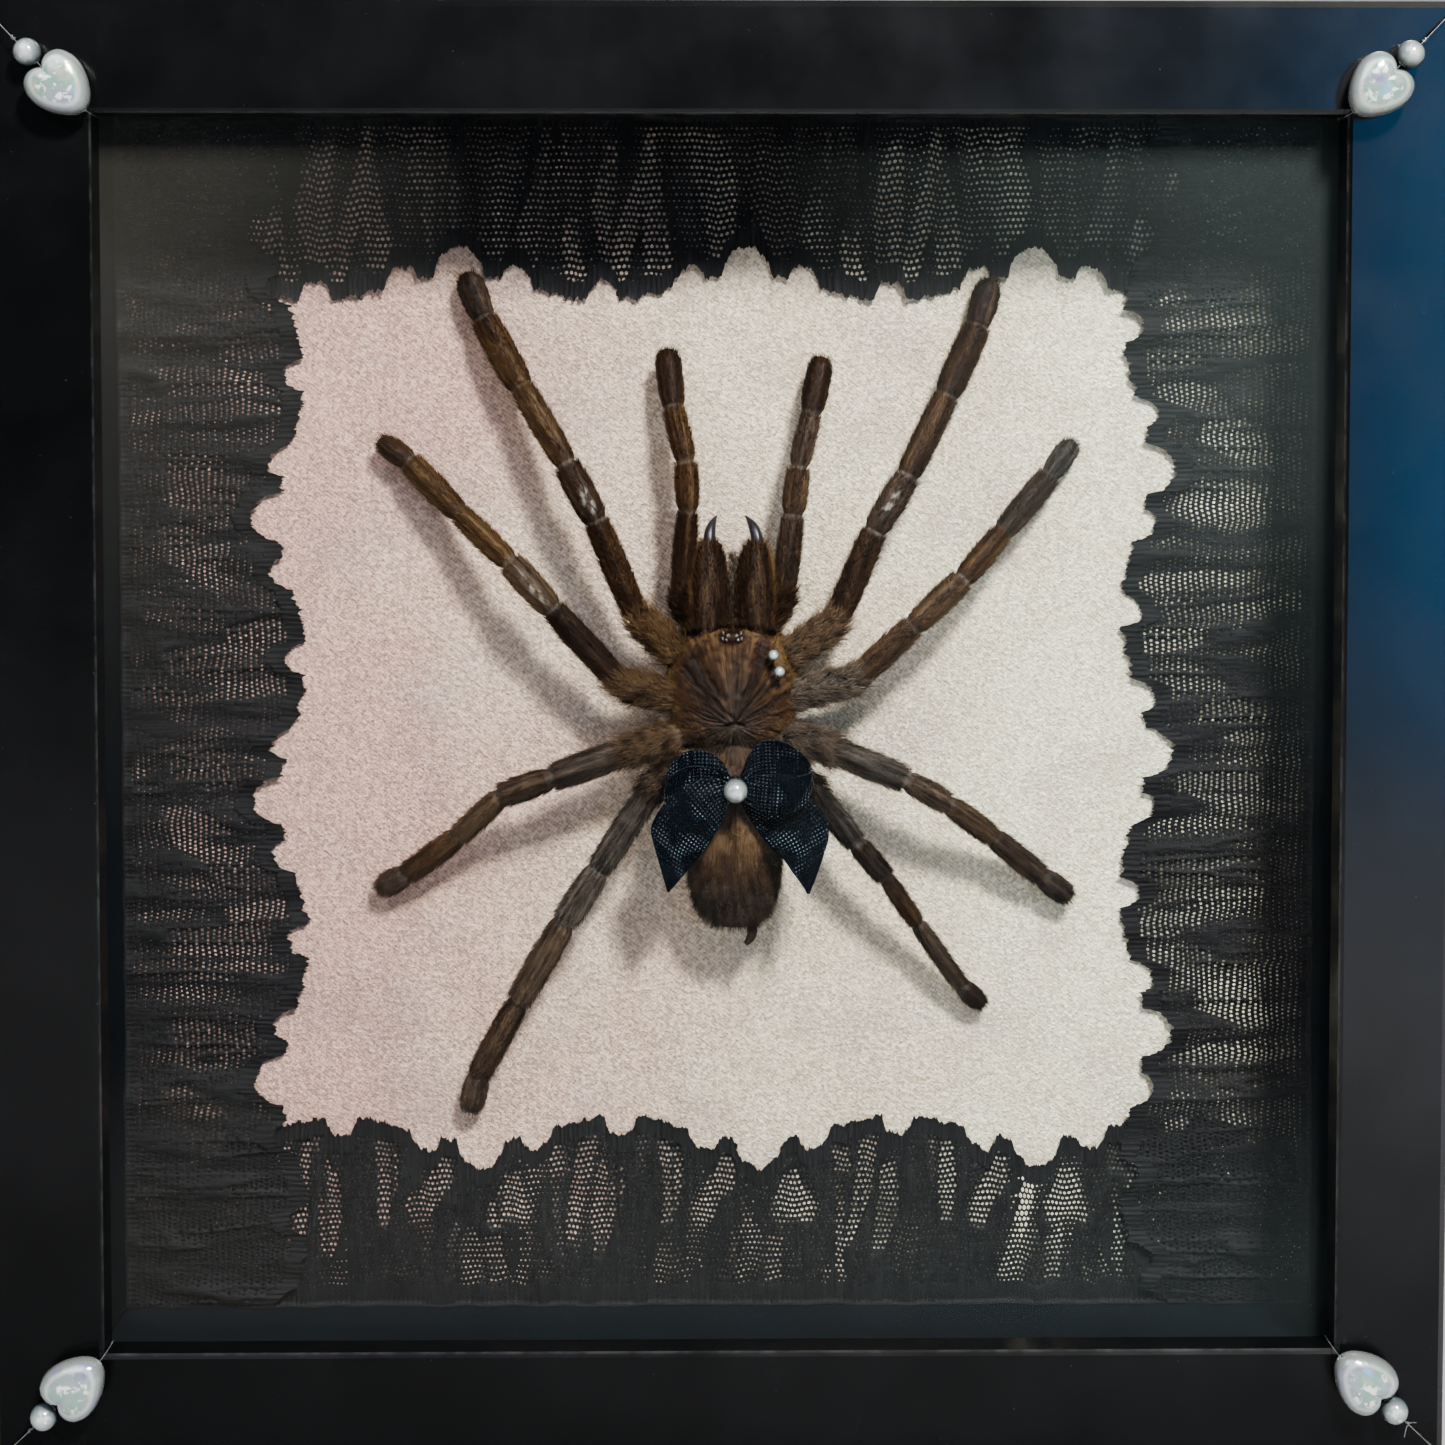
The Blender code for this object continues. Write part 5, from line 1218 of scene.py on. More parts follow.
def carapace():
    """The shield: rings from the fovea to the rim, then round under the rim to a point below."""
    turn = np.linspace(-np.pi, np.pi, SHIELD_TURNS, endpoint=False)[None, :]
    ring = np.sin(np.linspace(0.004, np.pi / 2, SHIELD_RINGS))[:, None]
    rim = shield_outline(turn)
    x = FOVEA[0] + ring * rim * np.sin(turn)
    z = FOVEA[1] + ring * rim * np.cos(turn)
    top, middle = shield_height(x, z)
    drop = smoothstep(0.86, 1.0, ring) ** 1.6
    top = middle + (top - middle) * (1 - drop)
    u, v = x - FOVEA[0], z - FOVEA[1]
    head = 0.55 * bell(u, 0, 4.6) * smoothstep(2, 8, v) * (1 - smoothstep(15.4, 17.2, v))
    depth, dark = shield_marks(x, z, turn + 0 * ring, ring + 0 * turn)
    skin = 0.05 * ripple(45, 2.4 * u, 2.4 * v, waves=12)
    height = top - 0.35 + head + eye_mound(u, v) - depth * (1 - drop) + skin
    gold = 0.60 + 0.20 * ripple(48, 7 * np.sin(turn), 7 * np.cos(turn), 0.1 * ring * rim, waves=14)
    gold = gold + 0.42 * smoothstep(0.80, 0.97, ring) + 0.10 * smoothstep(11, 16, v)
    gold = gold - 0.20 * bell(u, 0, 3.4) * bell(v, 4, 5.5) - 0.85 * dark
    gold = gold + 0.12 * ripple(46, 1.3 * u, 1.3 * v, waves=12)
    gold = gold - 0.22 * (bell(u, -6.0, 2.4) + 0.5 * bell(u, 5.6, 1.6)) * bell(v, 7.0, 5.0)
    ringed = np.hypot((u + 0.3) / 1.85, (v - 15.1) / 0.95)
    gold = gold - 0.8 * bell(ringed, 1.0, 0.34) - 0.45 * (1 - smoothstep(0.6, 1.0, ringed))
    grey = 0.40 * bell(u, 0, 4.8) * (1 - smoothstep(-1.5, 2.5, v)) + 0.35 * bell(u, 0.3, 2.4) \
        * bell(v, 5.0, 5.0)
    under = np.stack([0.97 * ring[-1:] + 0 * turn, 0.7 * ring[-1:] + 0 * turn])[:, 0]
    xs = np.concatenate([x, FOVEA[0] + under * rim * np.sin(turn)])
    zs = np.concatenate([z, FOVEA[1] + under * rim * np.cos(turn)])
    heights = np.concatenate([height, height[-1:] - 1.0, height[-1:] - 3.0])
    grid = inside(xs, zs, heights)
    tail = lambda values: np.concatenate([values, values[-1:], values[-1:]])
    marks = {"gold": np.clip(tail(gold), 0, 1), "grey": np.clip(tail(grey), 0, 1),
             "pale": tail(np.zeros_like(gold))}
    marks["run"] = np.stack([tail(ring * rim + 0 * turn), 9 * np.sin(turn) + 0 * xs,
                             9 * np.cos(turn) + 0 * xs], -1) * MM
    points, faces, marks = closed_tube(grid, marks)
    piece("carapace", points, faces, CUTICLE, marks, **ANIMAL)
    return x, z, height, turn + 0 * ring, gold, grey, dark


def carapace_fur(x, z, height, turn, gold, grey, dark, count=15000):
    """Short hairs pointing away from the fovea: sparse on the head, dense and golden at the rim."""
    draw = np.random.default_rng(301)
    rows, columns = x.shape
    share = np.sqrt(draw.uniform(0.02, 1, count))
    row = np.clip((np.arcsin(share) / (np.pi / 2) * (rows - 1)).astype(int), 1, rows - 1)
    column = draw.integers(0, columns, count)
    keep = draw.uniform(size=count) < (0.25 + 0.75 * smoothstep(0.55, 0.95, share)) \
        * (1 - 0.8 * dark[row, column])
    row, column, share = row[keep], column[keep], share[keep]
    n = len(row)
    way = turn[row, column] + draw.normal(0, 0.35, n)
    roots = inside(x[row, column] + draw.normal(0, 0.05, n), z[row, column]
                   + draw.normal(0, 0.05, n), height[row, column] - 0.05)
    lift = np.radians(draw.uniform(6, 24, n)) - 0.5 * smoothstep(0.9, 1.0, share)
    towards = np.stack([np.sin(way) * np.cos(lift), -np.sin(lift), np.cos(way) * np.cos(lift)], -1)
    length = draw.uniform(0.6, 1.3, n) * (0.7 + 0.6 * smoothstep(0.8, 1.0, share))
    looks = {"gold": np.clip(gold[row, column] + draw.normal(0.04, 0.09, n)
                             + 0.2 * smoothstep(0.85, 1, share), 0, 1),
             "grey": np.clip(grey[row, column], 0, 1), "pale": np.zeros(n)}
    hairs("carapace_fur", roots, towards, length, draw.uniform(0.024, 0.04, n), looks)


carapace_fur(*carapace())

# %% [markdown]
# ## Eyes
#
# Eight small lenses sit on the mound: two round ones look ahead, and six oval ones lie round them.
# They are glossy, and their colour is lifted to a pale amber grey, a painted highlight, so each one
# shows as a pale point in a dark ring.

# %% Eyes
EYES = [(-0.95, 15.35, 0.36, 0.36), (0.38, 15.35, 0.36, 0.36), (-1.75, 15.75, 0.24, 0.36),
        (1.2, 15.75, 0.24, 0.36), (-1.25, 14.65, 0.24, 0.3), (0.72, 14.65, 0.24, 0.3),
        (-1.85, 14.85, 0.22, 0.34), (1.3, 14.85, 0.22, 0.34)]
# The pale end of the lens colour is a painted highlight.
EYE_GLOSS = Finish("eye_lens_painted_highlight", Roughness=0.15, IOR=1.5)
eye_painted_highlight_tint = EYE_GLOSS.noise(EYE_GLOSS.place(), 3000.0)
EYE_GLOSS.set(Base_Color=EYE_GLOSS.ramp(eye_painted_highlight_tint, (0.35, (0.035, 0.026, 0.018)),
                                        (0.65, (0.13, 0.105, 0.075))))


def ball_grid(rings, columns):
    """Unit directions of a sphere as a grid of rings from one pole to the other."""
    polar = np.linspace(0.12, np.pi - 0.12, rings)[:, None]
    turn = around(columns)[None, :]
    return np.stack([np.sin(polar) * np.cos(turn), np.cos(polar) + 0 * turn,
                     np.sin(polar) * np.sin(turn)], -1)


def eyes():
    """Eight ellipsoids, each set on the mound at its own height."""
    parts = []
    for u, v, wide, tall in EYES:
        x, z = FOVEA[0] + u, FOVEA[1] + v
        top = shield_height(np.array(x), np.array(z))[0]
        centre = inside(x, z, top - 0.35 + eye_mound(u, v) + 0.6)
        shape = ball_grid(10, 14) * np.array((wide, min(wide, tall), tall)) * MM
        parts.append(closed_tube(centre + shape, {"gold": np.zeros((10, 14))}))
    points, faces, _ = join(parts)
    piece("eyes", points, faces, EYE_GLOSS.material, **ANIMAL)


eyes()

# %% [markdown]
# ## Jaws and fangs
#
# The two chelicerae stick out in front like a pair of thumbs.  Their skin has long light and dark
# stripes, a fringe of golden bristles stands along the outer edges, and rusty hair fills the gap
# between them.  The fangs are folded out ahead here: black, curved and polished like horn.

# %% Jaws
CHELICERA = np.array([(131.0, 3.0, 12.8, 6.2), (132.0, 3.1, 13.2, 6.0), (136.0, 3.3, 13.6, 5.6),
                      (141.5, 3.25, 13.2, 5.8), (145.6, 2.6, 12.0, 6.2), (148.0, 1.75, 10.7, 6.9),
                      (149.0, 0.9, 10.0, 7.4)])
CHELICERA_X = {"left": -1.75, "right": 5.95}
JAW_TIP, JAW_HAIRS = 149.25, 5200


def jaw_point(side, z, turn, lift=0.0):
    """An oval round the jaw's line; turn 90 degrees faces the viewer."""
    half, top, under = eased(CHELICERA, z, 0.7)
    middle = (top + under) / 2
    round_off = np.sqrt(np.clip((JAW_TIP - z) / 1.6, 0.02, 1))
    wide, high = (half * 0.94 * round_off + lift), ((top - middle) * 0.95 * round_off + lift)
    ridges = 1 + 0.018 * np.sin(9 * turn + (0.7 if side == "left" else 2.4) + 0.1 * z)
    return inside(CHELICERA_X[side] + wide * ridges * np.cos(turn), z,
                  middle + high * ridges * np.sin(turn))


def jaw_looks(side, z, turn):
    """Stripes by the turn: a pale back, dark furrows beside it, and a rusty inner side."""
    inner = turn if side == "left" else np.pi - turn
    degrees = np.degrees(inner)
    degrees = np.where(degrees > 270, degrees - 360, degrees)
    sway = degrees + 5 * ripple(51, 0.35 * z, 2 * turn)
    gold = 0.28 + 0.2 * bell(sway, 100, 30) - 0.38 * bell(sway, 139, 7) - 0.26 * bell(sway, 64, 8)
    gold = gold + 0.3 * bell(sway, 160, 12) - 0.28 * bell(sway, 20, 26)
    gold = gold + 0.26 * ripple(52, 0.25 * z, 9 * turn, waves=12)
    grey = 0.15 * bell(sway, 100, 45) * np.ones_like(z)
    return {"gold": np.clip(gold, 0, 1), "grey": np.clip(grey, 0, 1), "pale": 0 * gold}


def jaws():
    """Both jaws as closed skins, and their fur as bristles that point forward."""
    parts, coats = [], []
    ahead = np.array((0.0, 0.0, 1.0))
    draw = np.random.default_rng(511)
    for side, way in (("left", -1), ("right", 1)):
        z = np.linspace(131.0, 149.2, 60)[:, None]
        turn = around(36)[None, :]
        z, turn = np.broadcast_arrays(z, turn)
        marks = jaw_looks(side, z, turn)
        marks["run"] = np.stack([z, *circle(4, turn)], -1) * MM
        parts.append(closed_tube(jaw_point(side, z, turn), marks))
        n = JAW_HAIRS
        z = draw.uniform(132.5, 148.6, n)
        turn = np.radians(draw.uniform(-25, 205, n))
        roots = jaw_point(side, z, turn, -0.05)
        out = unit(jaw_point(side, z, turn, 0.3) - roots)
        flare = smoothstep(0.75, 1.0, way * np.cos(turn))
        gap = smoothstep(0.55, 0.95, -way * np.cos(turn))
        lift = np.radians(draw.uniform(5, 20, n) + 26 * flare + 10 * gap)[:, None]
        towards = unit(np.cos(lift) * ahead + np.sin(lift) * out
                       + draw.normal(0, 0.1, (n, 3)) * (1, 0.4, 0.3))
        length = draw.uniform(0.8, 1.7, n) * (1 + 0.35 * flare)
        looks = jaw_looks(side, z, turn)
        looks["gold"] = np.clip(looks["gold"] + draw.normal(0.0, 0.10, n) + 0.40 * flare, 0, 1)
        looks["grey"] = looks["grey"] * (1 - flare)
        coats.append((roots, towards, length, draw.uniform(0.026, 0.042, n), looks))
    points, faces, marks = join(parts)
    piece("jaws", points, faces, CUTICLE, marks, **ANIMAL)
    comb("jaws_fur", coats)


jaws()

# %% Hair at the base of the jaws and between them
draw = np.random.default_rng(521)
n = 900
x = draw.uniform(-5.2, 9.4, n)
root_z = 134.4 - 0.02 * (x - 2.1) ** 2 + draw.normal(0, 0.2, n)
roots = inside(x, root_z, draw.uniform(11.6, 13.6, n))
towards = unit(np.stack([draw.normal(0, 0.12, n), draw.uniform(-0.35, -0.05, n), np.ones(n)], -1))
hairs("jaw_base_fur", roots, towards, draw.uniform(1.0, 2.2, n), draw.uniform(0.03, 0.05, n),
      {"gold": np.clip(draw.normal(0.04, 0.05, n), 0, 1), "grey": 0.2 * np.ones(n),
       "pale": np.zeros(n)})
n = 1500
roots = inside(2.1 + draw.normal(0, 0.75, n), draw.uniform(134.5, 146.5, n),
               draw.uniform(8.6, 11.4, n))
towards = unit(np.stack([draw.normal(0, 0.35, n), draw.uniform(-0.6, 0.1, n), np.ones(n)], -1))
hairs("jaw_gap_fur", roots, towards, draw.uniform(0.8, 1.7, n), draw.uniform(0.024, 0.04, n),
      {"gold": np.clip(draw.normal(0.3, 0.2, n), 0, 1), "grey": 0.1 * np.ones(n),
       "pale": np.clip(draw.normal(-0.15, 0.3, n), 0, 0.6)})

# %% Fangs and spinneret
HORN = Finish("black_horn", Roughness=0.34, Specular_IOR_Level=0.3)
horn_tint = HORN.noise(HORN.place((1, 1, 0.4)), 900.0)
HORN.set(Base_Color=HORN.ramp(horn_tint, (0.35, (0.004, 0.004, 0.006)),
                              (0.7, (0.012, 0.010, 0.011))),
         Normal=HORN.bump(horn_tint, 0.15, 0.0001))


def horn(route, radius, rows=40, columns=18, thin=0.9):
    """A circle carried along a bent line of three points, thinning to its tip."""
    t = np.linspace(0, 1, rows)[:, None]
    first, bend, last = (inside(*point) for point in route)
    line = (1 - t) ** 2 * first + 2 * t * (1 - t) * bend + t ** 2 * last
    ahead = unit(np.gradient(line, axis=0))
    side = unit(np.cross(ahead, (0.0, 1.0, 0.0)))
    up = np.cross(side, ahead)
    turn = around(columns)
    size = (radius * (1 - thin * t ** 3.0) * MM)[:, :, None]
    ring = np.cos(turn)[None, :, None] * side[:, None] + np.sin(turn)[None, :, None] * up[:, None]
    return closed_tube(line[:, None] + size * ring, {"one": np.zeros((rows, columns))})


FANGS = [((-1.5, 147.2, 8.8), (-2.3, 150.4, 8.6), (-0.5, 153.0, 6.4)),
         ((6.3, 147.2, 8.8), (6.7, 150.6, 8.6), (4.3, 153.0, 6.4))]
points, faces, _ = join([horn(route, 1.1, thin=0.93) for route in FANGS])
piece("fangs", points, faces, HORN.material, **ANIMAL)

# %% [markdown]
# ## The abdomen
#
# The abdomen was soft in life, and dries into a bag: two dusty golden patches above, a dark line
# between them, and a grey-brown lower half with shallow cross wrinkles.  A dark hook, one of the
# spinnerets, sticks out at the end.  Its hairs lie towards the end and stand out round the edge.

# %% Abdomen
ABDOMEN = np.array([
    (116.2, 1.6, 10.6, 7.6), (113.0, 3.2, 12.2, 5.6), (109.0, 5.4, 13.8, 4.2),
    (103.5, 7.2, 15.2, 3.3), (97.5, 8.1, 15.8, 3.0), (92.5, 8.2, 15.4, 3.0),
    (88.5, 7.3, 14.2, 3.6), (85.4, 5.4, 12.6, 5.0), (83.9, 3.4, 11.0, 6.8), (83.2, 1.6, 10.0, 8.0)])
ABDOMEN_X = BODY_X + 0.4


def abdomen_point(z, turn, lift=0.0):
    """An oval round the abdomen's line, with cross wrinkles low down and a crease on the back."""
    half, top, under = eased(ABDOMEN, z, 1.0)
    middle = (top + under) / 2
    low = 1 - smoothstep(90, 99, z)
    folds = 0.13 * low * np.sin(2.5 * z + 2.2 * ripple(61, 0.5 * z, 2 * np.cos(turn)))
    crease = -0.22 * bell(np.degrees(turn), 96, 8) * smoothstep(88, 94, z)
    rough = 0.10 * ripple(62, 1.1 * z, *circle(5, turn), waves=10)
    more = folds + crease + rough + lift
    return inside(ABDOMEN_X + (half * 0.95 + more) * np.cos(turn), z,
                  middle + ((top - middle) * 0.95 + more) * np.sin(turn))


def abdomen_looks(z, turn):
    """Golden patches each side of a dark middle line, grey-brown below, rusty towards the edges."""
    half, _, _ = eased(ABDOMEN, z, 1.0)
    x = half * np.cos(turn)
    wander = 0.8 * ripple(63, 0.5 * x, 0.5 * z)
    patch = bell(x + wander, -3.6, 2.2) * bell(z, 98.8, 4.0) + bell(x + wander, 2.2, 2.1) \
        * bell(z, 98.6, 4.8)
    gold = 0.40 + 0.72 * patch - 0.1 * bell(x + 0.4, 0, 0.7) * smoothstep(92, 96, z)
    gold = gold + 0.10 * smoothstep(101, 106, z) + 0.16 * ripple(64, 1.1 * x, 0.35 * z, waves=12)
    gold = gold - 0.10 * (1 - smoothstep(88, 94, z))
    grey = (0.10 + 0.32 * (1 - smoothstep(88, 94, z))) * np.ones_like(gold)
    return {"gold": np.clip(gold, 0, 1), "grey": np.clip(grey, 0, 1), "pale": 0 * gold}


z, turn = np.broadcast_arrays(np.linspace(116.0, 83.3, 130)[:, None], around(88)[None, :])
marks = abdomen_looks(z, turn)
marks["run"] = np.stack([z, *circle(8, turn)], -1) * MM
points, faces, marks = closed_tube(abdomen_point(z, turn), marks)
piece("abdomen", points, faces, CUTICLE, marks, **ANIMAL)

draw = np.random.default_rng(601)
n = 15000
z = draw.uniform(83.8, 113, n)
turn = np.radians(draw.uniform(-20, 200, n))
roots = abdomen_point(z, turn, -0.06)
out = unit(abdomen_point(z, turn, 0.4) - roots)
back = np.stack([0.45 * np.cos(turn) * (1 - smoothstep(84, 90, z)), 0 * z, -np.ones(n)], -1)
lift = np.radians(draw.uniform(6, 26, n))[:, None]
towards = unit(np.cos(lift) * unit(back) + np.sin(lift) * out + draw.normal(0, 0.13, (n, 3)))
looks = abdomen_looks(z, turn)
looks["gold"] = np.clip(looks["gold"] + draw.normal(0.03, 0.10, n), 0, 1)
hairs("abdomen_fur", roots, towards, draw.uniform(1.0, 2.1, n), draw.uniform(0.026, 0.042, n),
      looks, droop=draw.normal(0, 0.12, (n, 3)))

SPINNERET = ((4.4, 85.2, 9.4), (6.6, 82.2, 9.6), (4.3, 80.4, 10.0))
points, faces, marks = horn(SPINNERET, 0.95, thin=0.55)
marks = {"gold": 0.05 + 0 * marks["one"], "grey": 0.2 + 0 * marks["one"],
         "pale": 0 * marks["one"], "run": points}
piece("spinneret", points, faces, CUTICLE, marks, **ANIMAL)

# %% [markdown]
# ## Ruffs where the legs begin
#
# Round the carapace the leg bases are buried in long, soft golden hair.  These are bent needles,
# two to three millimetres long, which start on the first segments and lie in loose curls.

# %% Ruffs at the leg bases
def ruffs(count=1900, seed=701):
    """Bent hairs on the first segment of every limb, pointing outwards with a wide scatter."""
    draw = np.random.default_rng(seed)
    coats = []
    for k, limb in enumerate(LIMBS.values()):
        one = Limb(*limb, seed=11 + 10 * k)
        s = draw.uniform(0.25, 1.06, count) * one.knots[1]
        turn = np.radians(draw.uniform(-20, 200, count))
        roots, out = one.point(s, turn, -0.05)
        ahead = one.at(s)[1]
        clump = ripple(seed + k, 0.9 * s, 3 * turn)[:, None]
        towards = unit(ahead * draw.uniform(0.3, 1.0, count)[:, None] + 0.55 * out
                       + np.cross(ahead, out) * (0.8 * clump + draw.normal(0, 0.25, (count, 1))))
        droop = unit(ahead + draw.normal(0, 0.5, (count, 3))) - 0.5 * out
        coats.append((roots, towards, draw.uniform(1.4, 2.9, count), 0.6 * unit(droop),
                      np.clip(one.gold[0] - 0.15 + 0.8 * clump[:, 0]
                              + draw.normal(0, 0.12, count), 0, 1),
                      np.full(count, 0.6 * one.grey[0])))
    roots, towards, length, droop, gold, grey = (np.concatenate(c) for c in zip(*coats))
    hairs("ruffs", roots, towards, length, draw.uniform(0.036, 0.066, len(roots)),
          {"gold": gold, "grey": grey, "pale": 0 * gold}, droop=droop)


ruffs()

# %% [markdown]
# ## The ribbon bow
#
# A bow is a single ribbon, but its loops and tails can be built as strips with two edges.  Each
# strip below is a short list of places on its lower and upper edge.  Smooth curves go through
# them, the strip arches between its edges, and close to the knot it is pinched into pleats.  A
# loop leaves the knot in front, turns at its far end and comes back behind, a little higher, so
# that its dark inside shows along the upper edge.  The weave is measured along and across the
# strip.

# %% Ribbon strips
# Rows from the knot: (x, z, height) of the lower or inner edge, then of the upper or outer edge
LOOP_RIGHT = [
    ((3.0, 107.5, 17.2), (3.0, 108.9, 17.4)), ((5.0, 105.5, 18.3), (5.3, 110.2, 19.0)),
    ((7.4, 104.3, 18.9), (7.8, 110.7, 19.6)), ((10.5, 103.9, 19.1), (10.6, 110.7, 19.7)),
    ((13.3, 105.0, 18.6), (13.2, 110.4, 19.3)), ((14.9, 107.1, 17.7), (14.9, 110.8, 18.0)),
    ((15.0, 107.8, 16.6), (14.9, 112.0, 16.6)), ((13.4, 106.8, 16.1), (13.2, 114.0, 16.2)),
    ((10.4, 106.2, 16.0), (10.0, 115.9, 16.3)), ((7.2, 106.4, 16.1), (6.8, 115.7, 16.4)),
    ((5.0, 107.2, 16.3), (4.7, 113.2, 16.5)), ((3.4, 107.9, 16.4), (3.4, 109.8, 16.6))]
LOOP_LEFT = [
    ((1.8, 107.8, 16.8), (1.8, 109.2, 16.8)), ((-0.8, 106.8, 17.4), (-0.8, 110.9, 17.7)),
    ((-3.9, 106.0, 17.7), (-3.8, 111.9, 18.0)), ((-6.9, 105.6, 17.6), (-6.7, 111.2, 17.8)),
    ((-8.8, 105.6, 16.8), (-8.6, 109.6, 17.0)), ((-9.3, 105.8, 16.0), (-9.2, 109.4, 16.0)),
    ((-8.0, 106.0, 15.4), (-7.7, 112.5, 15.7)), ((-5.0, 106.2, 15.2), (-5.0, 114.2, 15.7)),
    ((-2.2, 106.6, 15.3), (-2.3, 114.0, 15.7)), ((0.2, 107.4, 15.6), (0.1, 112.4, 15.9)),
    ((1.7, 108.0, 16.0), (1.6, 109.8, 16.2))]
TAIL_LEFT = [
    ((2.2, 106.6, 17.8), (1.9, 108.8, 17.8)), ((1.3, 105.1, 18.7), (-0.7, 109.9, 18.7)),
    ((0.6, 103.6, 19.1), (-3.2, 110.0, 19.1)), ((-0.4, 101.7, 19.3), (-6.0, 108.8, 19.4)),
    ((-1.5, 99.7, 19.3), (-8.6, 106.8, 19.6)), ((-2.7, 98.0, 19.2), (-10.5, 104.2, 19.6)),
    ((-4.0, 96.2, 19.0), (-11.5, 101.6, 19.4)), ((-5.6, 94.4, 18.8), (-10.9, 98.6, 19.2)),
    ((-7.1, 92.6, 18.6), (-9.8, 94.6, 18.9)), ((-8.6, 90.9, 18.4), (-8.8, 91.0, 18.4))]
TAIL_RIGHT = [
    ((3.0, 106.6, 15.6), (4.0, 108.0, 15.6)), ((4.2, 103.9, 15.6), (8.4, 106.9, 15.3)),
    ((5.6, 101.6, 15.9), (12.4, 106.6, 15.4)), ((7.2, 99.4, 16.3), (15.8, 105.3, 15.8)),
    ((8.9, 97.6, 16.8), (17.8, 102.6, 16.4)), ((10.6, 96.0, 17.2), (18.1, 100.0, 17.0)),
    ((12.0, 94.0, 17.4), (17.3, 97.2, 17.4)), ((13.4, 92.2, 17.6), (16.1, 93.6, 17.7)),
    ((14.5, 90.5, 17.8), (14.8, 90.4, 17.8))]


def through(rows, count):
    """A smooth curve through rows of values: Catmull-Rom, count steps to each span."""
    rows = np.array(rows, float)
    padded = np.concatenate([2 * rows[:1] - rows[1:2], rows, 2 * rows[-1:] - rows[-2:-1]])
    t = np.linspace(0, 1, count, endpoint=False).reshape(1, -1, *([1] * (rows.ndim - 1)))
    a, b, c, d = (padded[k:len(rows) - 1 + k][:, None] for k in range(4))
    path = 0.5 * (2 * b + (c - a) * t + (2 * a - 5 * b + 4 * c - d) * t ** 2
                  + (3 * b - a - 3 * c + d) * t ** 3)
    return np.concatenate([path.reshape(-1, *rows.shape[1:]), rows[-1:]])


def strip(rows, knot_rows, arch, pleats, seed, across=29):
    """Points, faces and weave coordinates of a ribbon strip; knot_rows are its pinched ends."""
    path = through(rows, 12)
    v = np.linspace(0, 1, across)[None, :, None]
    flat = path[:, :1] * (1 - v) + path[:, 1:] * v
    middle = flat[:, across // 2]
    along = np.concatenate([[0], np.cumsum(np.linalg.norm(np.diff(middle, axis=0), axis=1))])
    wide = np.linalg.norm(path[:, 1] - path[:, 0], axis=-1)[:, None]
    ends = [along] if knot_rows == 1 else [along, along[-1] - along]
    pinch = np.max([1 - smoothstep(0.5, 7.0, e) for e in ends], axis=0)[:, None]
    v = v[..., 0]
    lift = arch * np.sin(np.pi * v) * np.minimum(1, wide / 6)
    fold = np.sin(2 * np.pi * (2.6 * v + 0.1 * seed))
    lift = lift + pleats * pinch * fold * np.minimum(1, wide / 4)
    lift = lift + 0.10 * ripple(seed, along[:, None] * 0.5, v * 4)
    normal = unit(np.cross(np.gradient(flat, axis=0), np.gradient(flat, axis=1)))
    normal *= np.sign(normal[..., 2].mean()) if abs(normal[..., 2].mean()) > 0.3 else 1
    placed = flat + normal * lift[..., None]
    points = inside(*np.moveaxis(placed, -1, 0)).reshape(-1, 3)
    weave = np.stack([along[:, None] + 0 * wide * v, (v - 0.5) * wide, pinch + 0 * v], -1)
    faces = grid_faces(len(path), across)
    return points, [faces], {"weave": weave.reshape(-1, 3) * (MM, MM, 1)}


def ribbon_finish():
    """Navy satin: a dark, mottled ground with rows of pale pin-pricks, painted glints of the weave,
    that fade in and out.
    """
    made = Finish("navy_ribbon", Roughness=0.40, Specular_IOR_Level=0.02)
    weave = made.own("weave", vector=True)
    axes = made.split(weave)
    bend = made.times(made.noise(weave, 180.0, 1.0), 0.0006)
    rows = made.wave(made.sums("ADD", axes[0], bend), 0.66)
    pricks = made.sums("SINE", made.sums("MULTIPLY_ADD", axes[1], 2 * math.pi / (0.60 * MM),
                                         made.times(rows, 1.2)))
    # The pale pin-pricks are painted glints of the weave.
    painted_glint_dots = made.times(made.spread(rows, 0.1, 0.9), made.spread(pricks, 0, 0.9))
    fade = made.spread(made.noise(weave, 240.0, 2.0), 0.49, 0.66)
    painted_glint_dots = made.times(made.spread(painted_glint_dots, 0.45, 0.90), fade)
    ground = made.blend(made.noise(weave, 420.0, 2.0), (0.0002, 0.0005, 0.0008),
                        (0.0007, 0.0020, 0.0040))
    colour = made.blend(painted_glint_dots, ground, (0.20, 0.26, 0.30))
    return made.set(Base_Color=colour, Normal=made.bump(rows, 0.25, 0.00008),
                    Roughness=made.spread(painted_glint_dots, 0.0, 1.0, 0.40, 0.25))


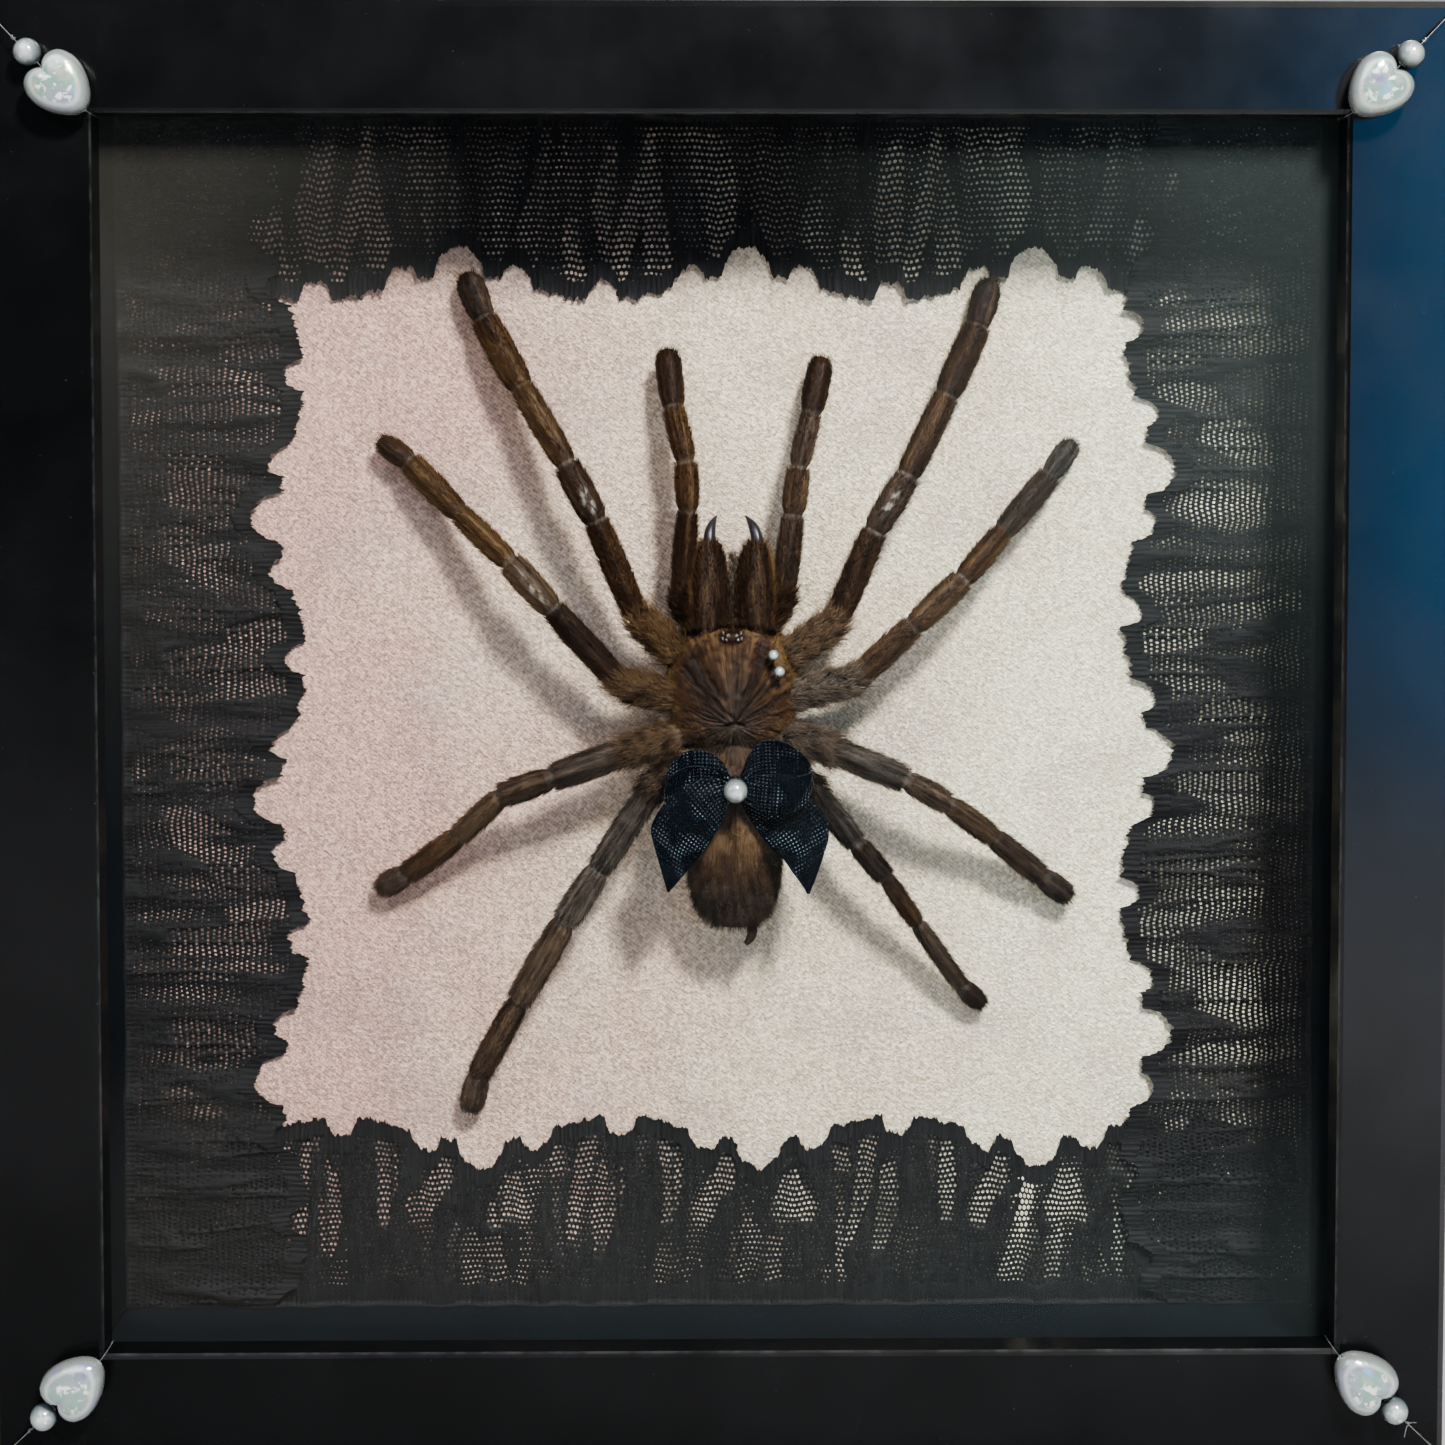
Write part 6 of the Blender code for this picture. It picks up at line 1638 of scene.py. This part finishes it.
def ribbon_bow():
    """Loops, tails and the pleated knot as one piece with the ribbon's thickness."""
    parts = [strip(LOOP_LEFT, 2, 0.25, 0.30, 3), strip(LOOP_RIGHT, 2, 0.35, 0.34, 5),
             strip(TAIL_LEFT, 1, 0.55, 0.34, 7), strip(TAIL_RIGHT, 1, 0.30, 0.28, 8)]
    turn = around(48)[None, :]
    polar = np.linspace(0.1, np.pi - 0.1, 26)[:, None]
    pleat = 1 + 0.05 * np.cos(9 * polar) * np.abs(np.cos(turn))
    ball = np.stack([np.sin(polar) * np.cos(turn) * 1.8 * pleat, np.cos(polar) * 1.9 + 0 * turn,
                     np.sin(polar) * np.sin(turn) * 1.4 * pleat], -1)
    grid = inside(2.5 + ball[..., 0], 108.0 + ball[..., 1], 16.3 + ball[..., 2])
    weave = np.stack([2.4 * turn + 0 * polar, 2.0 * polar + 0 * turn, 1 + 0 * (turn + polar)], -1)
    parts.append(closed_tube(grid, {"weave": weave * (MM, MM, 1)}))
    points, faces, marks = join(parts)
    made = piece("bow_ribbon", points, faces, ribbon_finish(), marks, replaces=["ribbon_bow"],
                 slot="ribbon")
    thicken(made, 0.2, 0.0)


ribbon_bow()

# %% [markdown]
# ## Pearls and hearts
#
# The beads are coated, and their colour sits in layers: a pale ground, a grey rim that is painted
# shade where the side turns away, and tints of lilac, green and cream that drift over the middle,
# with a bright line inside the rim and small glints that are painted highlights.  A bead's mesh
# stores how far each point is from the middle of its face, from 0 to 1, and the material places the
# rim and the bright line inside it by that number.  Beads on a thread are bored through.

# %% Bead materials
def lustre(name, ground, rim, tints, line, painted_glint_share, painted_shade_from):
    """Ground to a rim of painted shade from a given share outwards, a painted highlight line near
    the edge, drifting tints and painted glints.
    """
    made = Finish(name, Roughness=0.2, Specular_IOR_Level=0.6, Coat_Weight=0.8,
                  Coat_Roughness=0.06, Metallic=0.2)
    out = made.own("rim")
    drift = made.noise(made.place(), 260.0, 2.0)
    colour = made.ramp(drift, (0.32, tints[0]), (0.45, ground), (0.56, tints[1]), (0.68, tints[2]))
    wobble = made.sums("MULTIPLY_ADD", drift, 0.12, out)
    # The rim colour is painted shade where the side turns away.
    colour = made.blend(made.spread(wobble, painted_shade_from, 1.02), colour, rim)
    # A bright line inside the rim: a painted highlight.
    band = made.times(made.spread(wobble, 0.70, 0.78), made.spread(wobble, 0.88, 0.80))
    colour = made.blend(made.times(band, line), colour, (0.50, 0.49, 0.43))
    # Small bright glints: painted highlights.
    painted_glint_spots = made.spread(made.noise(made.place(), 760.0, 3.0, 0.6), 0.56, 0.62)
    painted_glint_spots = made.times(painted_glint_spots, made.spread(wobble, 0.60, 0.78, painted_glint_share, 0.0))
    colour = made.blend(painted_glint_spots, colour, (1.0, 1.0, 0.84))
    fine = made.noise(made.place(), 1500.0, 2.0)
    dimple = made.noise(made.place(), 620.0, 1.0)
    return made.set(Base_Color=colour, Roughness=made.spread(fine, 0.3, 0.7, 0.14, 0.28),
                    Normal=made.bump(dimple, 0.25, 0.0003))


# Pearls darken from a pale middle to a dark rim almost from the centre: painted shade over the
# whole ball.
PEARL = lustre("pearl_lustre", (0.50, 0.56, 0.52), (0.04, 0.056, 0.056),
               [(0.38, 0.44, 0.42), (0.60, 0.64, 0.56), (0.40, 0.45, 0.45)], 0.0, 0.5, 0.12)
HEART = lustre("heart_lustre", (0.25, 0.29, 0.28), (0.15, 0.155, 0.14),
               [(0.18, 0.18, 0.28), (0.16, 0.29, 0.22), (0.36, 0.35, 0.28)], 0.8, 0.7, 0.84)

# %% Bead shapes
def bored(name, points, faces, marks, material, at, along, replaces):
    """A bead with a round hole along a direction, cut with a boolean that is then applied."""
    made = piece(name, points, faces, material, marks, replaces=replaces, slot="pearl")
    bead = bmesh.new()
    bmesh.ops.create_cone(bead, cap_ends=True, segments=20, radius1=0.5 * MM, radius2=0.5 * MM,
                          depth=18 * MM)
    turned = Vector(along).to_track_quat("Z", "Y").to_matrix().to_4x4()
    turned.translation = Vector(at) * MM
    bead.transform(turned)
    rod = bpy.data.meshes.new(name + "_bore")
    bead.to_mesh(rod)
    bead.free()
    drill = bpy.data.objects.new(name + "_bore", rod)
    bpy.context.scene.collection.objects.link(drill)
    cut = made.modifiers.new("bore", "BOOLEAN")
    cut.operation, cut.object, cut.solver = "DIFFERENCE", drill, "EXACT"
    bpy.context.view_layer.update()
    depsgraph = bpy.context.evaluated_depsgraph_get()
    done = bpy.data.meshes.new_from_object(made.evaluated_get(depsgraph))
    made.modifiers.clear()
    made.data = done
    done.name = name
    bpy.data.objects.remove(drill)


def pearl_points(at, radius):
    """A sphere round a place, with "rim" as the sine of the angle from the viewer."""
    polar = np.linspace(0.06, np.pi - 0.06, 30)[:, None]
    turn = around(44)[None, :]
    ball = np.stack([np.sin(polar) * np.cos(turn), -np.cos(polar) + 0 * turn,
                     np.sin(polar) * np.sin(turn)], -1)
    rim = np.where(polar < np.pi / 2, np.sin(polar), 1.0) + 0 * turn
    return closed_tube((np.array(at) + radius * ball) * MM, {"rim": 0.93 * rim})


# Right half of a heart's outline from the notch to the tip, in mm
HEART_HALF = [(0.0, 4.25), (1.1, 4.95), (2.5, 5.1), (3.9, 4.35), (4.75, 2.7), (4.8, 0.8),
              (4.15, -1.3), (3.0, -3.2), (1.6, -4.6), (0.0, -5.15)]


def heart_points(at, lean):
    """A plump heart: its outline shrinks towards a front and a back pole on a full profile."""
    right = np.array(HEART_HALF)
    outline = through(np.concatenate([right, right[-2:0:-1] * (-1, 1), right[:1]]), 6)[:-1]
    pole = np.array((0.0, 0.6))
    ring = np.linspace(0.05, np.pi - 0.05, 44)[:, None]
    share = np.sin(ring) ** 0.85
    flat = pole + (outline[None] - pole) * share[..., None]
    lift = np.sign(np.cos(ring)) * np.abs(np.cos(ring)) ** 0.78 * HEART_THICK / 2
    x, z = flat[..., 0], flat[..., 1]
    cos, sin = math.cos(lean), math.sin(lean)
    grid = np.stack([x * cos + z * sin, -lift + 0 * x, -x * sin + z * cos], -1)
    rim = np.where(ring < np.pi / 2, share, 1.0) + 0 * x
    return closed_tube((np.array(at) + grid) * MM, {"rim": rim})


# %% [markdown]
# ## The thread
#
# At every corner one clear nylon thread goes through the pearl and the heart, over the lip into
# the opening, back between the frame's layers and round the outer corner.  It is tied beside the
# pearl.  A taut thread runs straight between its turns, so its route is walked in even steps, and
# each step is averaged with its neighbours to round the turns a little.

# %% Corners
ROOT2 = math.sqrt(2.0)
FRAME_HALF, FRONT_Y, BACK_Y, LIP_BACK_Y = 118.0, -20.0, 20.0, -14.0
HEART_INSET, HEART_THICK, HEART_Y = 14.4, 5.8, -23.2
PEARL_INSET, PEARL_RADIUS, PEARL_Y = 8.9, 2.2, -22.5
THREAD_RADIUS, THREAD_STEPS, LOOSE_ENDS_AT = 0.075, 260, "bottom_right"


def thread_route():
    """Distance from the frame's corner along the mitre, and y, for the turns of the thread."""
    outer, rim, wall = 1.5 / ROOT2 - 0.45, 18.0 * ROOT2, 12.0 * ROOT2 + 0.8
    return [
        (outer, FRONT_Y + 1.0), (outer + 0.5, FRONT_Y - 0.2), (outer + 1.6, FRONT_Y - 0.7),
        (PEARL_INSET * ROOT2 - 2.6, PEARL_Y), (PEARL_INSET * ROOT2 + 2.6, PEARL_Y),
        (HEART_INSET * ROOT2 - 4.6, HEART_Y), (HEART_INSET * ROOT2 + 5.2, HEART_Y),
        (rim + 0.35, FRONT_Y - 0.9), (rim + 0.62, FRONT_Y + 0.4), (rim + 0.55, LIP_BACK_Y - 0.4),
        (rim + 0.2, LIP_BACK_Y + 0.3), (wall + 0.4, LIP_BACK_Y + 0.3), (wall, LIP_BACK_Y + 0.9),
        (wall, BACK_Y - 0.3), (wall - 0.5, BACK_Y + 0.4), (outer + 1.6, BACK_Y + 0.45),
        (outer + 0.4, BACK_Y + 0.1), (outer, BACK_Y - 1.0)]


def tube(path, radius, closed, sides=8):
    """A round tube along a path of points in millimetres; an open one has capped ends."""
    step = np.roll(path, -1, 0) - np.roll(path, 1, 0) if closed else np.gradient(path, axis=0)
    ahead = unit(step)
    side = unit(np.cross(ahead, (0.3, 0.5, 0.81)))
    other = np.cross(ahead, side)
    turn = around(sides)[None, :, None]
    grid = path[:, None] + radius * (np.cos(turn) * side[:, None] + np.sin(turn) * other[:, None])
    if not closed:
        return closed_tube(grid * MM, {"one": np.zeros(grid.shape[:2])})
    points = grid.reshape(-1, 3) * MM
    faces = outward(points, [grid_faces(len(path), sides, wrap_rows=True, wrap_columns=True)])
    return points, faces, {"one": np.zeros(len(points))}


def corner(side_x, side_z, name):
    """Heart, pearl and thread of one corner."""
    def place(distance, y, aside=0.0):
        """A point on the mitre line, or beside it."""
        distance, y = np.asarray(distance, float), np.asarray(y, float)
        return np.stack([side_x * (FRAME_HALF - (distance + aside) / ROOT2),
                         y, MIDDLE_Z + side_z * (FRAME_HALF - (distance - aside) / ROOT2)], -1)

    inward = np.array((-side_x, 0.0, -side_z)) / ROOT2
    lean = math.pi / 2 - math.atan2(side_z, side_x)
    heart_at = place(HEART_INSET * ROOT2, HEART_Y)
    pearl_at = place(PEARL_INSET * ROOT2, PEARL_Y)
    bored("heart_" + name, *heart_points(heart_at, lean), HEART, heart_at, inward,
          ["corner_heart_" + name])
    bored("pearl_" + name, *pearl_points(pearl_at, PEARL_RADIUS), PEARL, pearl_at, inward,
          ["corner_pearl_" + name])
    route = np.array(thread_route())
    route = np.concatenate([route, route[:1]])
    gone = np.concatenate([[0], np.cumsum(np.linalg.norm(np.diff(route, axis=0), axis=1))])
    even = np.linspace(0, gone[-1], THREAD_STEPS, endpoint=False)
    loop = np.stack([np.interp(even, gone, route[:, k]) for k in (0, 1)], -1)
    loop = (np.roll(loop, 1, 0) + 2 * loop + np.roll(loop, -1, 0)) / 4
    draw = np.random.default_rng(len(name))
    parts = [tube(place(loop[:, 0], loop[:, 1]), THREAD_RADIUS, True)]
    knot = PEARL_INSET * ROOT2 - 3.3
    turns = around(28)
    parts.append(tube(place(knot + 0.32 * np.cos(turns), PEARL_Y + 0.5 + 0.28 * np.sin(turns),
                            0.25 * np.sin(2 * turns)), THREAD_RADIUS, True))
    for way in (-1, 1) if name == LOOSE_ENDS_AT else ():
        t = np.linspace(0, 1, 12)
        reach = draw.uniform(1.2, 2.4)
        parts.append(tube(place(knot - reach * 0.4 * t, PEARL_Y + 0.4 - 0.5 * t,
                                way * (0.1 + reach * t - 0.5 * t ** 2)), THREAD_RADIUS, False))
    points, faces, _ = join(parts)
    piece("thread_" + name, points, faces, NYLON.material, replaces=["corner_thread_" + name],
          slot="nylon")


NYLON = Finish("clear_nylon", Roughness=0.22, Specular_IOR_Level=0.7, Coat_Weight=0.5)
strand = NYLON.noise(NYLON.place(), 900.0, 2.0)
NYLON.set(Base_Color=NYLON.ramp(strand, (0.35, (0.06, 0.06, 0.06)), (0.7, (0.17, 0.165, 0.16))))
for side_x, side_z, name in ((-1, 1, "top_left"), (1, 1, "top_right"), (-1, -1, "bottom_left"),
                             (1, -1, "bottom_right")):
    corner(side_x, side_z, name)

for name, x, z, height, radius in (("bow_pearl", 2.5, 108.0, 19.9, 2.1),
                                   ("carapace_pearl_1", 8.9, 130.1, 15.35, 0.95),
                                   ("carapace_pearl_2", 9.9, 127.3, 15.15, 0.95)):
    points, faces, marks = pearl_points((x, CLOTH_Y - height, z), radius)
    piece(name + "_bead", points, faces, PEARL, marks, replaces=[name], slot="pearl")

# %% [markdown]
# ## The back
#
# Nobody photographs the back, but it turns round with the rest.  The boards are brown fibreboard:
# pressed fibres give them a fine mottle and a slightly rough skin.  The points, the hanger and its
# nails are zinc-plated steel.

# %% Boards and steel
def fibreboard():
    """Two scales of mottle and short fibres."""
    made = Finish("brown_fibreboard", Roughness=0.85, Specular_IOR_Level=0.2)
    where = made.place()
    mottle = made.noise(where, 70.0, 3.0)
    fibres = made.noise(made.place((1.0, 1.0, 0.25), (0.0, 0.6, 0.0)), 1600.0, 4.0, 0.7)
    colour = made.blend(mottle, (0.17, 0.115, 0.065), (0.25, 0.175, 0.10))
    colour = made.blend(made.spread(fibres, 0.45, 0.75), colour, (0.33, 0.25, 0.16))
    return made.set(Base_Color=colour, Normal=made.bump(fibres, 0.35, 0.0002))


def plated_steel():
    """Bright zinc with soft clouds and fine scratches."""
    made = Finish("plated_steel", Metallic=1.0, Roughness=0.35)
    cloud = made.noise(made.place(), 220.0, 3.0)
    scratch = made.noise(made.place((0.1, 1.0, 1.0)), 4000.0, 2.0)
    colour = made.blend(cloud, (0.47, 0.47, 0.46), (0.68, 0.68, 0.67))
    return made.set(Base_Color=colour, Roughness=made.spread(scratch, 0.3, 0.7, 0.25, 0.48))


dress(["mount_board", "backing_board"], fibreboard())
dress([name for name in nodes if name.startswith(("point_", "hanger_", "sawtooth_"))],
      plated_steel())
